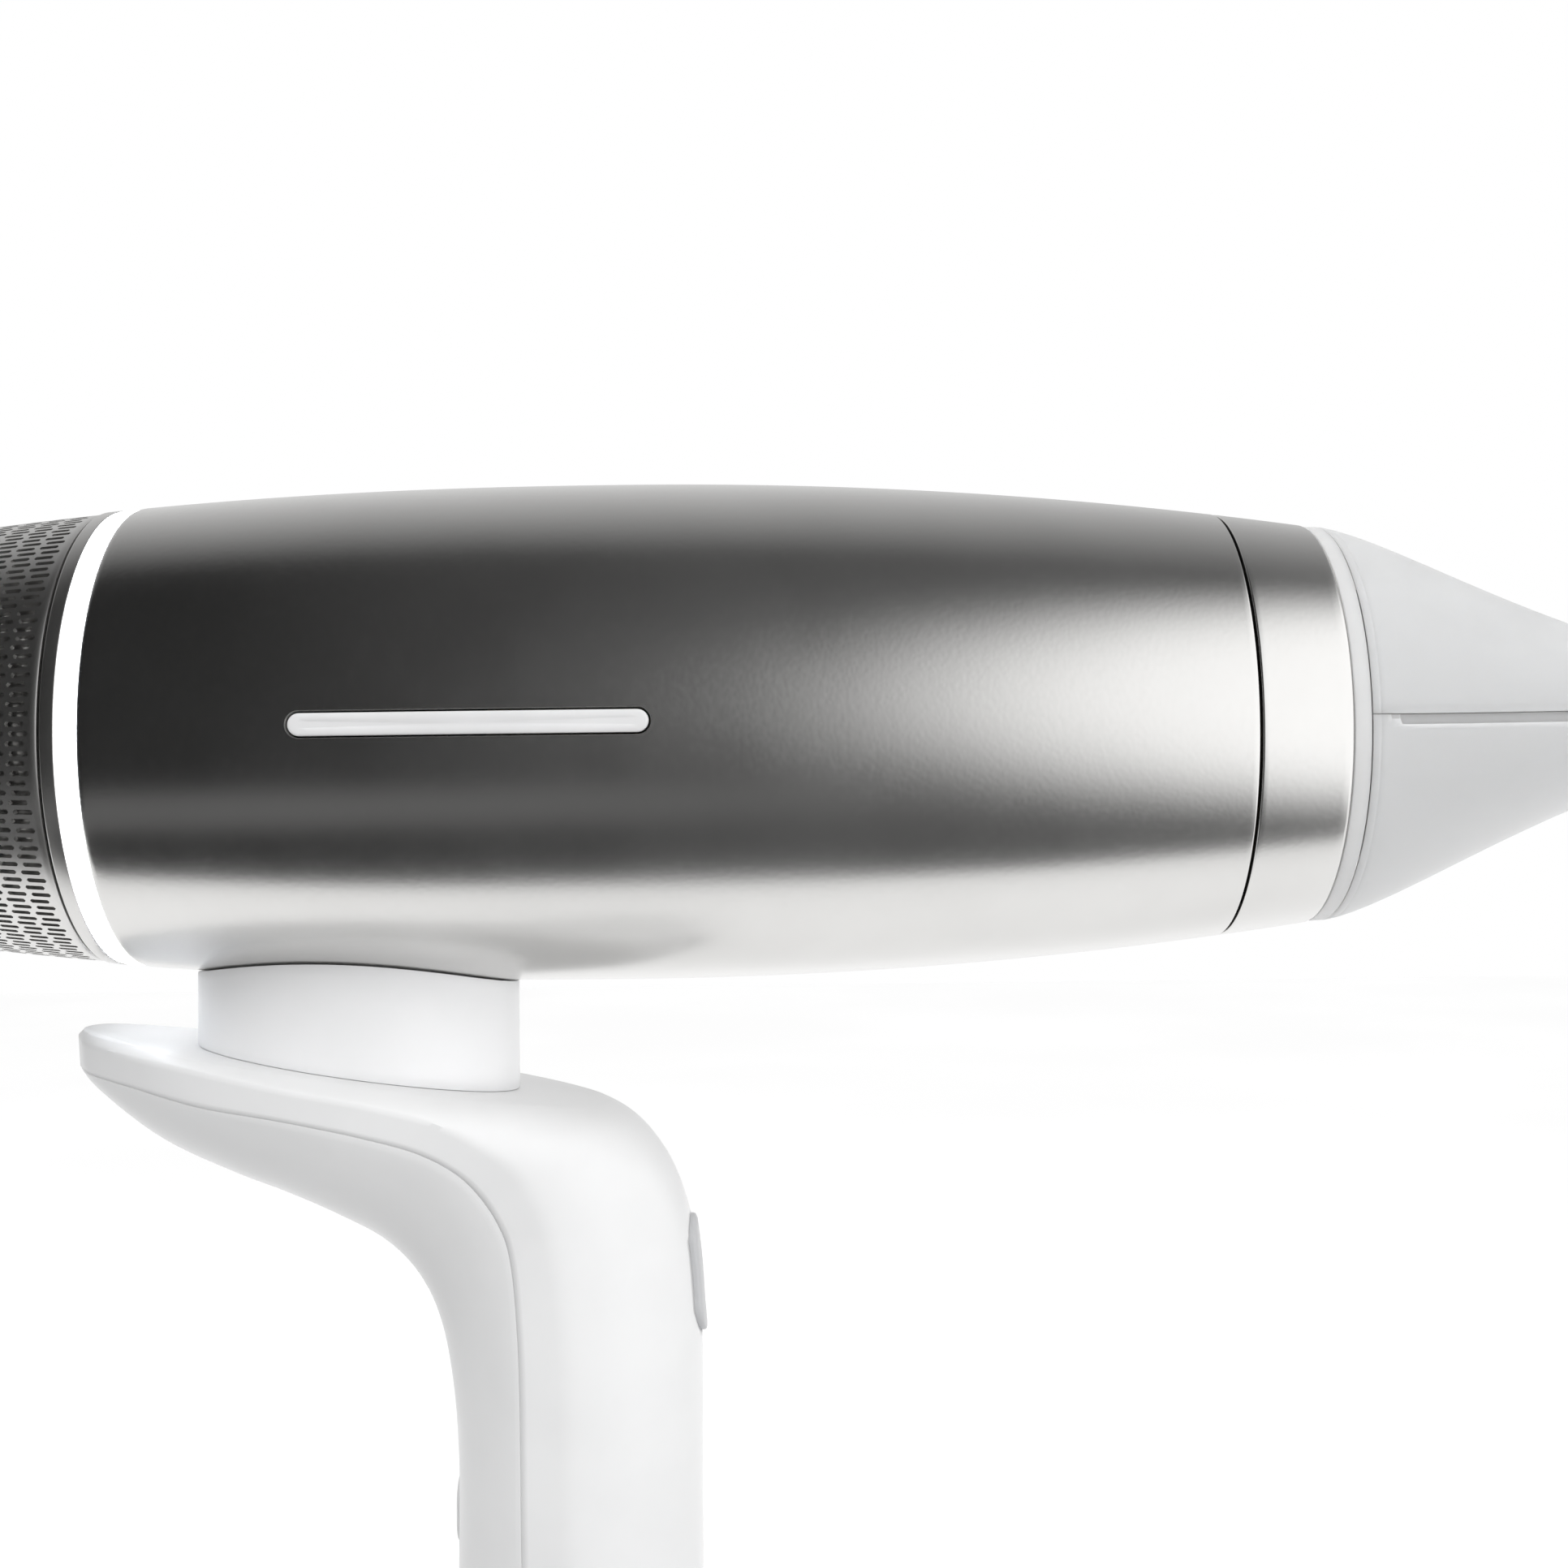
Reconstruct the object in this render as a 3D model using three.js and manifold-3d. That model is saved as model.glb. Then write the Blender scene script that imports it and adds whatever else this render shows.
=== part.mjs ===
// A hair dryer with a bulged metal-finish barrel on an offset white handle: a slotted intake cap, a light ring,
// a clip-on concentrator nozzle, and the fan, motor, heater, controls and wiring inside.
// Millimetres. +X is the way the air leaves and +Z is up. The origin is the middle of the grip.
import * as THREE from "three";
import { mergeVertices } from "three/addons/utils/BufferGeometryUtils.js";
import Module from "manifold-3d";

const wasm = await Module();
wasm.setup();

// ---------------------------------------------------------------- driving sizes

// Barrel, measured along its own axis.
const BARREL_R = 39; // the largest outer radius
const WIDEST_X = 10; // where the barrel is widest, ahead of the grip's middle
const FRONT_LENGTH = 105; // from there to the front face
const FRONT_DROP = 7.6; // how much smaller the front face's radius is
const REAR_LENGTH = 76.8; // from the widest place back to the casing's rear edge
const REAR_DROP = 2.86; // how much smaller the radius is there
const REAR_POWER = 2.3; // how late the rear starts to draw in
const WALL = 1.8; // casing wall
const SEAM = 0.4; // visible line between two casing pieces
const FIT = 0.3; // clearance between pieces that seat on each other
const COLLAR_LENGTH = 13.6; // front collar
const LIGHT_RING_WIDTH = 2.9;
const REAR_COLLAR_WIDTH = 2.2;

// Intake cap.
const CAP_LENGTH = 28;
const CAP_CORNER = 7; // radius between its side and its end
const CAP_WALL = 1.1;
const CAP_SPIGOT = 8; // how far the rear collar reaches into the cap
const CAP_SLOT_COLUMNS = 24;
const CAP_SLOT_ROWS = 2;
const CAP_SLOT_WIDTH = 2.4;
const CAP_SLOT_GAP = 2.2; // metal between two rows
const CAP_END_SLOTS = 12;

// Indicator bar in the barrel's side.
const BAR_X = -11;
const BAR_LENGTH = 50.4;
const BAR_HEIGHT = 3;
const BAR_GAP = 0.35;
const BAR_DEPTH = 0.6; // how far it reaches past the casing's wall

// Fan and motor.
const DAMPER = 2.2; // rubber between the fan duct and the casing
const DAMPER_WIDTH = 5;
const DUCT_WALL = 1.6;
const DUCT_LENGTH = 52;
const FAN_BLADES = 11;
const BLADE_TIP_GAP = 0.5;
const BLADE_THICKNESS = 1.1;
const HUB_R = 12;
const HUB_LENGTH = 12;
const SHAFT_R = 2.5;
const VANES = 7;
const MOTOR_LENGTH = 27;
const ROTOR_R = 6.6;
const AIR_GAP = 0.5;
const CAN_WALL = 1;

// Heater and outlet.
const SLEEVE_WALL = 0.8;
const SLEEVE_GAP = 5; // air space between the heater sleeve and the casing
const MICA = 0.8;
const WIRE_R = 0.5;
const COIL_TURNS = 6;
const OUTLET_R = 25.4; // hole in the front face
const GRILLE_DEPTH = 3;
const MAGNETS = 4;
const MAGNET_R = 1.6;
const MAGNET_LENGTH = 2.4;

// Nozzle.
const NOZZLE_LENGTH = 65;
const NOZZLE_BASE = 2.1; // thickness of its base ring
const MOUTH_HALF_WIDTH = 37;
const MOUTH_HALF_HEIGHT = 7;
const NOZZLE_WALL = 1.6;
const NOZZLE_SPIGOT = 6; // how far the base reaches into the outlet
const PARTING_X = 4; // where the slit between the two shells starts, past the base
const SLIT = 1.5; // height of that slit

// Neck and handle.
const NECK_X = -34; // the neck's centre
const NECK_LENGTH = 14; // from the handle's flat top to the barrel, at its centre
const NECK_HALF_X = 25.2;
const NECK_HALF_Y = 15.5;
const NECK_WALL = 2.4;
const NECK_SPIGOT_STEP = 3; // how much smaller the spigot inside the barrel is, all round
const HEAD_Z = 87.7; // the flat top's height above the grip's middle, at the neck's centre
const HEAD_SLOPE = -0.155; // how it falls towards the front
const HEAD_HALF_Y = 23; // the head's half width
const GRIP_HALF_Y = 18; // the grip's half width
const GRIP_FRONT = 19.5; // the grip's front, ahead of its middle
const GRIP_BACK = 18.6; // and its back, behind
const GRIP_BOTTOM = 60; // the handle's lower end, below the grip's middle
const HANDLE_WALL = 2.4;

// Controls in the handle.
const PANEL_X = 17.7; // the control panel's face, behind the grip's middle
const PANEL_HALF_Y = 5.6;
const PANEL_HALF_Z = 32;
const PANEL_THICK = 2;
const BUTTON_HALF_Y = 3.8;
const BUTTON_HALF_Z = 5.2;
const BUTTON_PROUD = 0.9;
const BUTTON_TRAVEL = 1.2;
const HEAT_Z = 19;
const SPEED_Z = 4;
const SLIDER_Z = -20;
const SLIDER_HALF_Z = 4.4;
const SLIDER_TRAVEL = 8;
const SLIDER_PROUD = 1.6;
const COOL_Z = 55;
const COOL_HALF_Y = 4.6;
const COOL_HALF_Z = 9;
const COOL_PROUD = 0.8;
const COOL_TRAVEL = 1.5;

// Cord end.
const END_CAP = 4; // thickness of the handle's end cap
const GLAND_R = 6;
const GLAND_BORE = 3.6;
const LOOM_R = 2.2;

// How finely round things are cut.
const ROUND = 48;
const INNER_ROUND = 24;

// ---------------------------------------------------------------- places that follow from the sizes

const FRONT_X = WIDEST_X + FRONT_LENGTH;
const COLLAR_X = FRONT_X - COLLAR_LENGTH;
const REAR_X = WIDEST_X - REAR_LENGTH;
const RING_X = REAR_X - LIGHT_RING_WIDTH;
const REAR_COLLAR_X = RING_X - REAR_COLLAR_WIDTH;
const CAP_X = REAR_COLLAR_X - SEAM;
const CAP_END_X = CAP_X - CAP_LENGTH;

// The barrel's outer radius at x. Its front falls off as a parabola, and its rear a little later than one.
function shellRadius(x) {
  if (x > WIDEST_X) return BARREL_R - FRONT_DROP * ((x - WIDEST_X) / FRONT_LENGTH) ** 2;
  return BARREL_R - REAR_DROP * ((WIDEST_X - x) / REAR_LENGTH) ** REAR_POWER;
}

// The handle's flat top at x.
const headTop = (x) => HEAD_Z + HEAD_SLOPE * (x - NECK_X);
const AXIS_Z = HEAD_Z + NECK_LENGTH + shellRadius(NECK_X);

// ---------------------------------------------------------------- solids

// A closed geometry as a solid with its faces pointing out.
function solid(geometry) {
  const bare = geometry.index ? geometry.toNonIndexed() : geometry.clone();
  bare.deleteAttribute("normal");
  bare.deleteAttribute("uv");
  const merged = mergeVertices(bare, 1e-4);
  const corners = merged.index.array;
  const faces = [];
  for (let i = 0; i < corners.length; i += 3) {
    const [a, b, c] = corners.slice(i, i + 3);
    if (a !== b && b !== c && c !== a) faces.push([a, b, c]);
  }
  const build = (triangles) =>
    new wasm.Manifold(
      new wasm.Mesh({
        numProp: 3,
        vertProperties: merged.attributes.position.array,
        triVerts: new Uint32Array(triangles.flat()),
      }),
    );
  const made = build(faces);
  return made.volume() >= 0 ? made : build(faces.map(([a, b, c]) => [a, c, b]));
}

// The solid swept by a closed [x, radius] profile about the X axis.
function turned(profile, segments = ROUND) {
  const points = [...profile, profile[0]].map(([x, r]) => new THREE.Vector2(r, x));
  const lathe = new THREE.LatheGeometry(points, segments);
  lathe.rotateZ(-Math.PI / 2);
  return solid(lathe);
}

// A tube about the X axis from x0 to x1.
const tube = (x0, x1, inner, outer, segments = INNER_ROUND) =>
  turned([[x0, inner], [x1, inner], [x1, outer], [x0, outer]], segments);

// A plain round bar about the X axis.
const bar = (x0, x1, r, segments = INNER_ROUND) => turned([[x0, 0], [x1, 0], [x1, r], [x0, r]], segments);

function box(x0, x1, y0, y1, z0, z1) {
  const block = new THREE.BoxGeometry(x1 - x0, y1 - y0, z1 - z0);
  block.translate((x0 + x1) / 2, (y0 + y1) / 2, (z0 + z1) / 2);
  return solid(block);
}

// An upright bar of elliptic section.
function ellipticBar(x, halfX, halfY, z0, z1, segments = ROUND) {
  const column = new THREE.CylinderGeometry(1, 1, z1 - z0, segments);
  column.rotateX(Math.PI / 2);
  column.scale(halfX, halfY, 1);
  column.translate(x, 0, (z0 + z1) / 2);
  return solid(column);
}

// A rod of radius r between two points.
function rod(from, to, r, segments = 12) {
  const a = new THREE.Vector3(...from);
  const b = new THREE.Vector3(...to);
  const cylinder = new THREE.CylinderGeometry(r, r, a.distanceTo(b), segments);
  const turn = new THREE.Quaternion().setFromUnitVectors(
    new THREE.Vector3(0, 1, 0),
    b.clone().sub(a).normalize(),
  );
  cylinder.applyQuaternion(turn);
  cylinder.translate(...a.add(b).multiplyScalar(0.5).toArray());
  return solid(cylinder);
}

// A stadium, halfA by halfB with round ends along B, extruded along X from x0 to x1. A runs along Y and B along Z.
function pill(x0, x1, halfA, halfB, y = 0, z = 0) {
  const straight = Math.max(halfB - halfA, 0.01);
  const shape = new THREE.Shape();
  shape.absarc(0, straight, halfA, 0, Math.PI, false);
  shape.absarc(0, -straight, halfA, Math.PI, 2 * Math.PI, false);
  shape.closePath();
  const block = new THREE.ExtrudeGeometry(shape, { depth: x1 - x0, bevelEnabled: false, curveSegments: 6 });
  block.rotateY(Math.PI / 2);
  block.rotateX(Math.PI / 2);
  block.translate(x0, y, z);
  return solid(block);
}

// A closed body through rings of equal length, with flat ends.
function loft(rings) {
  const count = rings[0].length;
  const points = rings.flat();
  const faces = [];
  for (let i = 0; i + 1 < rings.length; i++) {
    for (let j = 0; j < count; j++) {
      const next = (j + 1) % count;
      const [a, b] = [i * count + j, i * count + next];
      faces.push(a, b, a + count, b, b + count, a + count);
    }
  }
  for (const [i, flip] of [[0, false], [rings.length - 1, true]]) {
    const middle = rings[i].reduce((sum, p) => sum.add(p), new THREE.Vector3()).divideScalar(count);
    points.push(middle);
    for (let j = 0; j < count; j++) {
      const [a, b] = [i * count + j, i * count + ((j + 1) % count)];
      faces.push(points.length - 1, flip ? a : b, flip ? b : a);
    }
  }
  const body = new THREE.BufferGeometry().setFromPoints(points);
  body.setIndex(faces);
  return solid(body);
}

const joined = (solids) => solids.reduce((all, one) => all.add(one));

// The same solid repeated count times about the X axis.
const aroundX = (one, count, first = 0) =>
  joined([...Array(count).keys()].map((i) => one.rotate([first + (360 * i) / count, 0, 0])));

// ---------------------------------------------------------------- materials and the scene graph

const finish = (color, roughness, metalness) => new THREE.MeshStandardMaterial({ color, roughness, metalness });
const satinMetal = () => finish(0x8f8e8b, 0.38, 1);
const whitePlastic = () => finish(0xeeeeef, 0.35, 0);
const nozzlePlastic = () => finish(0xd9d9d8, 0.4, 0);
const lightGuide = () => finish(0xffffff, 0.3, 0);
const darkPlastic = () => finish(0x2b2c30, 0.5, 0);
const rubber = () => finish(0x1c1c1e, 0.9, 0);
const steel = () => finish(0xb9bcc0, 0.3, 1);
const copper = () => finish(0xb87333, 0.35, 1);
const mica = () => finish(0xc9b892, 0.7, 0);
const circuitBoard = () => finish(0x1f5a3a, 0.6, 0);

const dryer = new THREE.Group();
const barrel = new THREE.Group();
const handle = new THREE.Group();
barrel.position.z = AXIS_Z;
dryer.add(barrel, handle);

function add(group, name, body, material, place = [0, 0, 0]) {
  const { vertProperties, triVerts } = body.getMesh();
  const geometry = new THREE.BufferGeometry();
  geometry.setAttribute("position", new THREE.BufferAttribute(vertProperties, 3));
  geometry.setIndex(new THREE.BufferAttribute(triVerts, 1));
  const mesh = new THREE.Mesh(geometry, material);
  mesh.name = name;
  mesh.position.set(...place);
  group.add(mesh);
  return body;
}

// [x, radius] points of the barrel's surface from x0 to x1, offset outwards.
function surface(x0, x1, steps, offset = 0) {
  return [...Array(steps + 1).keys()].map((i) => {
    const x = x0 + ((x1 - x0) * i) / steps;
    return [x, shellRadius(x) + offset];
  });
}

// ---------------------------------------------------------------- casing of the barrel

const SPIGOT_HALF_X = NECK_HALF_X - NECK_SPIGOT_STEP;
const SPIGOT_HALF_Y = NECK_HALF_Y - NECK_SPIGOT_STEP;
const BELOW = -AXIS_Z; // the grip's middle, seen from the barrel's axis

function barrelShell() {
  const skin = turned([
    ...surface(REAR_X, COLLAR_X - SEAM, 7),
    ...surface(COLLAR_X - SEAM, REAR_X, 4, -WALL),
  ]);
  const neckHole = neckColumn(FIT, BELOW, 0);
  const barHole = barSlot(BAR_LENGTH / 2 + BAR_GAP, BAR_HEIGHT / 2 + BAR_GAP, BARREL_R + 1);
  return skin.subtract(neckHole).subtract(barHole);
}

// The neck's spigot as a solid upright column, wider all round by a gap.
const neckColumn = (gap, z0, z1) => ellipticBar(NECK_X, SPIGOT_HALF_X + gap, SPIGOT_HALF_Y + gap, z0, z1);

// A slot's solid in the barrel's left side, reaching from the axis out to the given depth.
function barSlot(halfLength, halfHeight, depth) {
  const slot = pill(0, depth, halfHeight, halfLength);
  return slot.rotate([90, 0, 0]).rotate([0, 0, -90]).translate([BAR_X, 0, 0]);
}

function frontCollar() {
  const lip = 2;
  return turned([
    ...surface(COLLAR_X, FRONT_X, 2),
    [FRONT_X, OUTLET_R],
    [FRONT_X - lip, OUTLET_R],
    [FRONT_X - lip, shellRadius(FRONT_X) - WALL],
    [COLLAR_X, shellRadius(COLLAR_X) - WALL],
  ]).subtract(aroundX(magnetSeat(FIT), MAGNETS, 45));
}

// The magnets sit in blind holes in the collar's lip, open to the inside.
const MAGNET_RING_R = () => (OUTLET_R + shellRadius(FRONT_X)) / 2;
const magnetSeat = (gap) =>
  bar(FRONT_X - MAGNET_LENGTH - gap, FRONT_X - 1 + gap, MAGNET_R + gap, 12).translate([0, 0, MAGNET_RING_R()]);
const magnet = () => bar(FRONT_X - MAGNET_LENGTH, FRONT_X - 1, MAGNET_R, 12);

const LIGHT_RING_DEPTH = 5;

const lightRing = () =>
  turned([
    [RING_X + FIT, shellRadius(RING_X) - 0.15],
    [REAR_X - FIT / 3, shellRadius(REAR_X) - 0.15],
    [REAR_X - FIT / 3, shellRadius(REAR_X) - LIGHT_RING_DEPTH],
    [RING_X + FIT, shellRadius(RING_X) - LIGHT_RING_DEPTH],
  ]);

// The board that holds the ring's lamps stands just inside it.
const lightRingBoard = () => {
  const outer = shellRadius(RING_X) - LIGHT_RING_DEPTH - FIT;
  return tube(RING_X + FIT, RING_X + FIT + 1.2, outer - 2.4, outer, ROUND);
};

const SPIGOT_R = () => shellRadius(CAP_X - CAP_SPIGOT) - CAP_WALL - 2 * FIT;

function rearCollar() {
  const outer = shellRadius(REAR_COLLAR_X);
  const inner = SPIGOT_R() - 1.5;
  return turned([
    [REAR_COLLAR_X - CAP_SPIGOT, inner],
    [REAR_COLLAR_X - CAP_SPIGOT, SPIGOT_R()],
    [REAR_COLLAR_X, SPIGOT_R()],
    [REAR_COLLAR_X, outer],
    [RING_X, shellRadius(RING_X)],
    [RING_X, inner],
  ]);
}

// ---------------------------------------------------------------- intake cap and its filter

// The cap's outline, wall inside it, from its mouth round the corner to the middle of its end.
function capOutline(inset) {
  const side = surface(CAP_X, CAP_END_X + CAP_CORNER, 1, -inset);
  const [cornerX, cornerR] = side[side.length - 1];
  const radius = CAP_CORNER - inset;
  const corner = [1, 2, 3].map((i) => {
    const turn = (i / 3) * (Math.PI / 2);
    return [cornerX - radius * Math.sin(turn), cornerR - radius * (1 - Math.cos(turn))];
  });
  return [...side, ...corner, [cornerX - radius, 0]];
}

function intakeCap() {
  const skin = turned([...capOutline(0), ...capOutline(CAP_WALL).reverse()], 2 * CAP_SLOT_COLUMNS);
  const band = CAP_LENGTH - CAP_CORNER - 2 * CAP_SLOT_GAP;
  const length = band / CAP_SLOT_ROWS - CAP_SLOT_GAP;
  const outer = shellRadius(CAP_X) + 1;
  const slots = [...Array(CAP_SLOT_ROWS).keys()].map((row) => {
    const x = CAP_X - CAP_SLOT_GAP - 1 - row * (length + CAP_SLOT_GAP);
    const slot = box(x - length, x, -CAP_SLOT_WIDTH / 2, CAP_SLOT_WIDTH / 2, outer - CAP_CORNER, outer);
    return aroundX(slot, CAP_SLOT_COLUMNS, (row % 2) * (180 / CAP_SLOT_COLUMNS));
  });
  const endInner = 10;
  const endOuter = shellRadius(CAP_END_X) - CAP_CORNER - 2;
  const endSlot = box(CAP_END_X - 1, CAP_END_X + CAP_CORNER, -CAP_SLOT_WIDTH / 2, CAP_SLOT_WIDTH / 2, endInner, endOuter);
  return skin.subtract(joined(slots)).subtract(aroundX(endSlot, CAP_END_SLOTS));
}

const FILTER_GAP = 1.2;
const FILTER_THICK = 0.6;

// The fine filter: a thin basket that clips inside the cap, behind the rear collar's spigot.
function filterBasket() {
  const mouth = REAR_COLLAR_X - CAP_SPIGOT - 1;
  const outline = (inset) =>
    capOutline(inset)
      .filter(([x]) => x < mouth)
      .map(([x, r]) => [x + FILTER_GAP, r]);
  const outside = outline(CAP_WALL + FILTER_GAP);
  const inside = outline(CAP_WALL + FILTER_GAP + FILTER_THICK).map(([x, r]) => [x + FILTER_THICK / 2, r]);
  return turned([...outside, ...inside.reverse()], INNER_ROUND);
}

// ---------------------------------------------------------------- indicator bar

const indicatorBar = () => {
  const block = barSlot(BAR_LENGTH / 2, BAR_HEIGHT / 2, BARREL_R + 1);
  const outside = turned([...surface(REAR_X, COLLAR_X, 10, -0.1), [COLLAR_X, 0], [REAR_X, 0]]);
  const inside = turned([...surface(REAR_X, COLLAR_X, 10, -WALL - BAR_DEPTH), [COLLAR_X, 0], [REAR_X, 0]]);
  return block.intersect(outside).subtract(inside);
};

// The strip of lamps behind the bar.
const BOARD_X0 = BAR_X - BAR_LENGTH / 2;
const BOARD_X1 = BAR_X + BAR_LENGTH / 2;
const BOARD_THICK = 1.2;
const boardFace = () => Math.min(shellRadius(BOARD_X0), shellRadius(BOARD_X1)) - WALL - BAR_DEPTH - 2 * FIT;
const indicatorBoard = () =>
  box(BOARD_X0, BOARD_X1, -boardFace(), BOARD_THICK - boardFace(), -BAR_HEIGHT / 2, BAR_HEIGHT / 2);

// ---------------------------------------------------------------- fan and motor

const DUCT_X = REAR_X + 3;
const DUCT_END_X = DUCT_X + DUCT_LENGTH;
const DUCT_R = () => shellRadius(DUCT_X) - WALL - FIT - DAMPER - FIT;
const BORE_R = () => DUCT_R() - DUCT_WALL;
const HUB_X = DUCT_X + 10;
const MOTOR_X = HUB_X + HUB_LENGTH + 2;
const MOTOR_END_X = MOTOR_X + MOTOR_LENGTH;
const CAN_R = () => HUB_R - 0.5;
const BEARING_LENGTH = 4;
const BEARING_R = SHAFT_R + FIT + 2.4;

const fanDuct = () =>
  turned([
    [DUCT_X, BORE_R() + 1.2],
    [DUCT_X + 4, BORE_R()],
    [DUCT_END_X, BORE_R()],
    [DUCT_END_X, DUCT_R()],
    [DUCT_X, DUCT_R()],
  ]);

// A rubber ring round the duct, notched where the indicator's board and the neck's spigot reach in.
function damperRing(x) {
  const outer = Math.min(shellRadius(x), shellRadius(x + DAMPER_WIDTH)) - WALL - FIT;
  const boardRoom = box(BOARD_X0 - FIT, BOARD_X1 + FIT, -BARREL_R, FIT - boardFace() + BOARD_THICK, -3, 3);
  const spigotRoom = neckColumn(FIT, BELOW, -DUCT_R() - 1.5);
  return tube(x, x + DAMPER_WIDTH, DUCT_R() + FIT, outer, ROUND).subtract(boardRoom).subtract(spigotRoom);
}

// A grid of spokes and a hub that keeps fingers out of the fan.
function inletGuard() {
  const outer = BORE_R() - FIT;
  const [x0, x1] = [DUCT_X + 4, DUCT_X + 6];
  const ring = tube(x0, x1, outer - 2, outer);
  const hub = bar(x0, x1, 5);
  const spoke = box(x0, x1, -0.6, 0.6, 4, outer - 1);
  return ring.add(hub).add(aroundX(spoke, 6));
}

// One blade, from inside the hub to its tip, turned more steeply at the hub than at the tip.
function blade() {
  const tip = BORE_R() - BLADE_TIP_GAP;
  const sections = [
    [HUB_R - 1.5, 40],
    [(HUB_R + tip) / 2, 52],
    [tip, 62],
  ];
  const chord = (HUB_LENGTH - 2) / Math.cos(THREE.MathUtils.degToRad(sections[0][1]));
  return loft(
    sections.map(([radius, degrees]) => {
      const turn = THREE.MathUtils.degToRad(degrees);
      const half = Math.min(chord, (HUB_LENGTH - 2) / Math.cos(turn)) / 2;
      const corners = [[-half, -1], [half, -1], [half, 1], [-half, 1]];
      return corners.map(([along, side]) => {
        const across = (side * BLADE_THICKNESS) / 2;
        const x = along * Math.cos(turn) - across * Math.sin(turn);
        const y = along * Math.sin(turn) + across * Math.cos(turn);
        return new THREE.Vector3(HUB_X + HUB_LENGTH / 2 + x, y, Math.sqrt(Math.max(radius ** 2 - y ** 2, 1)));
      });
    }),
  );
}

function impeller() {
  const nose = 4;
  const hub = turned([
    [HUB_X - nose + 2, SHAFT_R + FIT],
    [HUB_X - nose + 2, 5],
    [HUB_X, HUB_R - 1],
    [HUB_X + 1.5, HUB_R],
    [HUB_X + HUB_LENGTH, HUB_R],
    [HUB_X + HUB_LENGTH, SHAFT_R + FIT],
  ]);
  return hub.add(aroundX(blade(), FAN_BLADES));
}

const motorShaft = () => bar(HUB_X - 3, MOTOR_END_X - CAN_WALL - FIT, SHAFT_R);
const rotorMagnet = () => tube(MOTOR_X + 8, MOTOR_END_X - 8, SHAFT_R + FIT, ROTOR_R);
const bearing = (x) => tube(x, x + BEARING_LENGTH, SHAFT_R + FIT, BEARING_R);

// The motor's can, joined to an outer ring by the guide vanes that straighten the air.
function motorCan() {
  const can = turned([
    [MOTOR_X, BEARING_R + FIT],
    [MOTOR_X, CAN_R()],
    [MOTOR_END_X - 2, CAN_R()],
    [MOTOR_END_X, CAN_R() - 3],
    [MOTOR_END_X, BEARING_R - 1],
    [MOTOR_END_X - CAN_WALL, BEARING_R - 1],
    [MOTOR_END_X - CAN_WALL, CAN_R() - 3],
    [MOTOR_END_X - 2, CAN_R() - CAN_WALL],
    [MOTOR_X + CAN_WALL, CAN_R() - CAN_WALL],
    [MOTOR_X + CAN_WALL, BEARING_R + FIT],
  ]);
  const outer = BORE_R() - FIT;
  const ring = tube(MOTOR_X, MOTOR_X + 14, outer - 1.2, outer);
  const vane = box(MOTOR_X + 1, MOTOR_X + 13, -0.7, 0.7, CAN_R() - 0.5, outer - 0.6);
  return can.add(ring).add(aroundX(vane.rotate([0, 0, 0]), VANES));
}

// The stator: a ring with six teeth that face the rotor.
function statorCore() {
  const outer = CAN_R() - CAN_WALL - FIT;
  const [x0, x1] = [MOTOR_X + 8, MOTOR_END_X - 8];
  const yoke = tube(x0, x1, outer - 1.4, outer);
  const tooth = box(x0, x1, -1.1, 1.1, ROTOR_R + AIR_GAP, outer - 0.7);
  return yoke.add(aroundX(tooth, 6));
}

const winding = (x) => {
  const outer = CAN_R() - CAN_WALL - FIT;
  return tube(x, x + 2.2, ROTOR_R + AIR_GAP, outer);
};

// ---------------------------------------------------------------- heater and outlet

const SLEEVE_X = DUCT_END_X + 2;
const SLEEVE_END_X = FRONT_X - 20;
const SLEEVE_R = () => shellRadius(SLEEVE_END_X) - WALL - SLEEVE_GAP;
const FRAME_R = () => SLEEVE_R() - SLEEVE_WALL - 4 * WIRE_R - 1.2;
const HEATER_X = SLEEVE_X + 6;
const HEATER_END_X = SLEEVE_END_X - 6;

const heaterSleeve = () => tube(SLEEVE_X, SLEEVE_END_X, SLEEVE_R() - SLEEVE_WALL, SLEEVE_R(), 32);

// Two mica plates that slot into each other, each with a half-length slot.
function micaPlate(upright) {
  const half = FRAME_R();
  const middle = (HEATER_X + HEATER_END_X) / 2;
  const plate = box(HEATER_X, HEATER_END_X, -MICA / 2, MICA / 2, -half, half);
  const reach = MICA / 2 + FIT;
  if (upright) return plate.subtract(box(middle, HEATER_END_X + 1, -MICA, MICA, -reach, reach));
  return plate.subtract(box(HEATER_X - 1, middle + FIT, -MICA, MICA, -reach, reach)).rotate([90, 0, 0]);
}

// The heating wire, wound round the mica plates' outer edges.
class Helix extends THREE.Curve {
  constructor(x0, x1, radius, turns) {
    super();
    Object.assign(this, { x0, x1, radius, turns });
  }
  getPoint(t, target = new THREE.Vector3()) {
    const turn = 2 * Math.PI * this.turns * t + Math.PI / 4;
    return target.set(
      this.x0 + (this.x1 - this.x0) * t,
      this.radius * Math.cos(turn),
      this.radius * Math.sin(turn),
    );
  }
}

// A cord or wire of round section along a curve.
function swept(curve, radius, steps, sides) {
  const section = new THREE.Shape();
  for (let i = 0; i < sides; i++) {
    const turn = (2 * Math.PI * i) / sides;
    const point = [radius * Math.cos(turn), radius * Math.sin(turn)];
    if (i === 0) section.moveTo(...point);
    else section.lineTo(...point);
  }
  section.closePath();
  return solid(new THREE.ExtrudeGeometry(section, { steps, extrudePath: curve, bevelEnabled: false }));
}

const COIL_STEPS_PER_TURN = 16;

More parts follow.
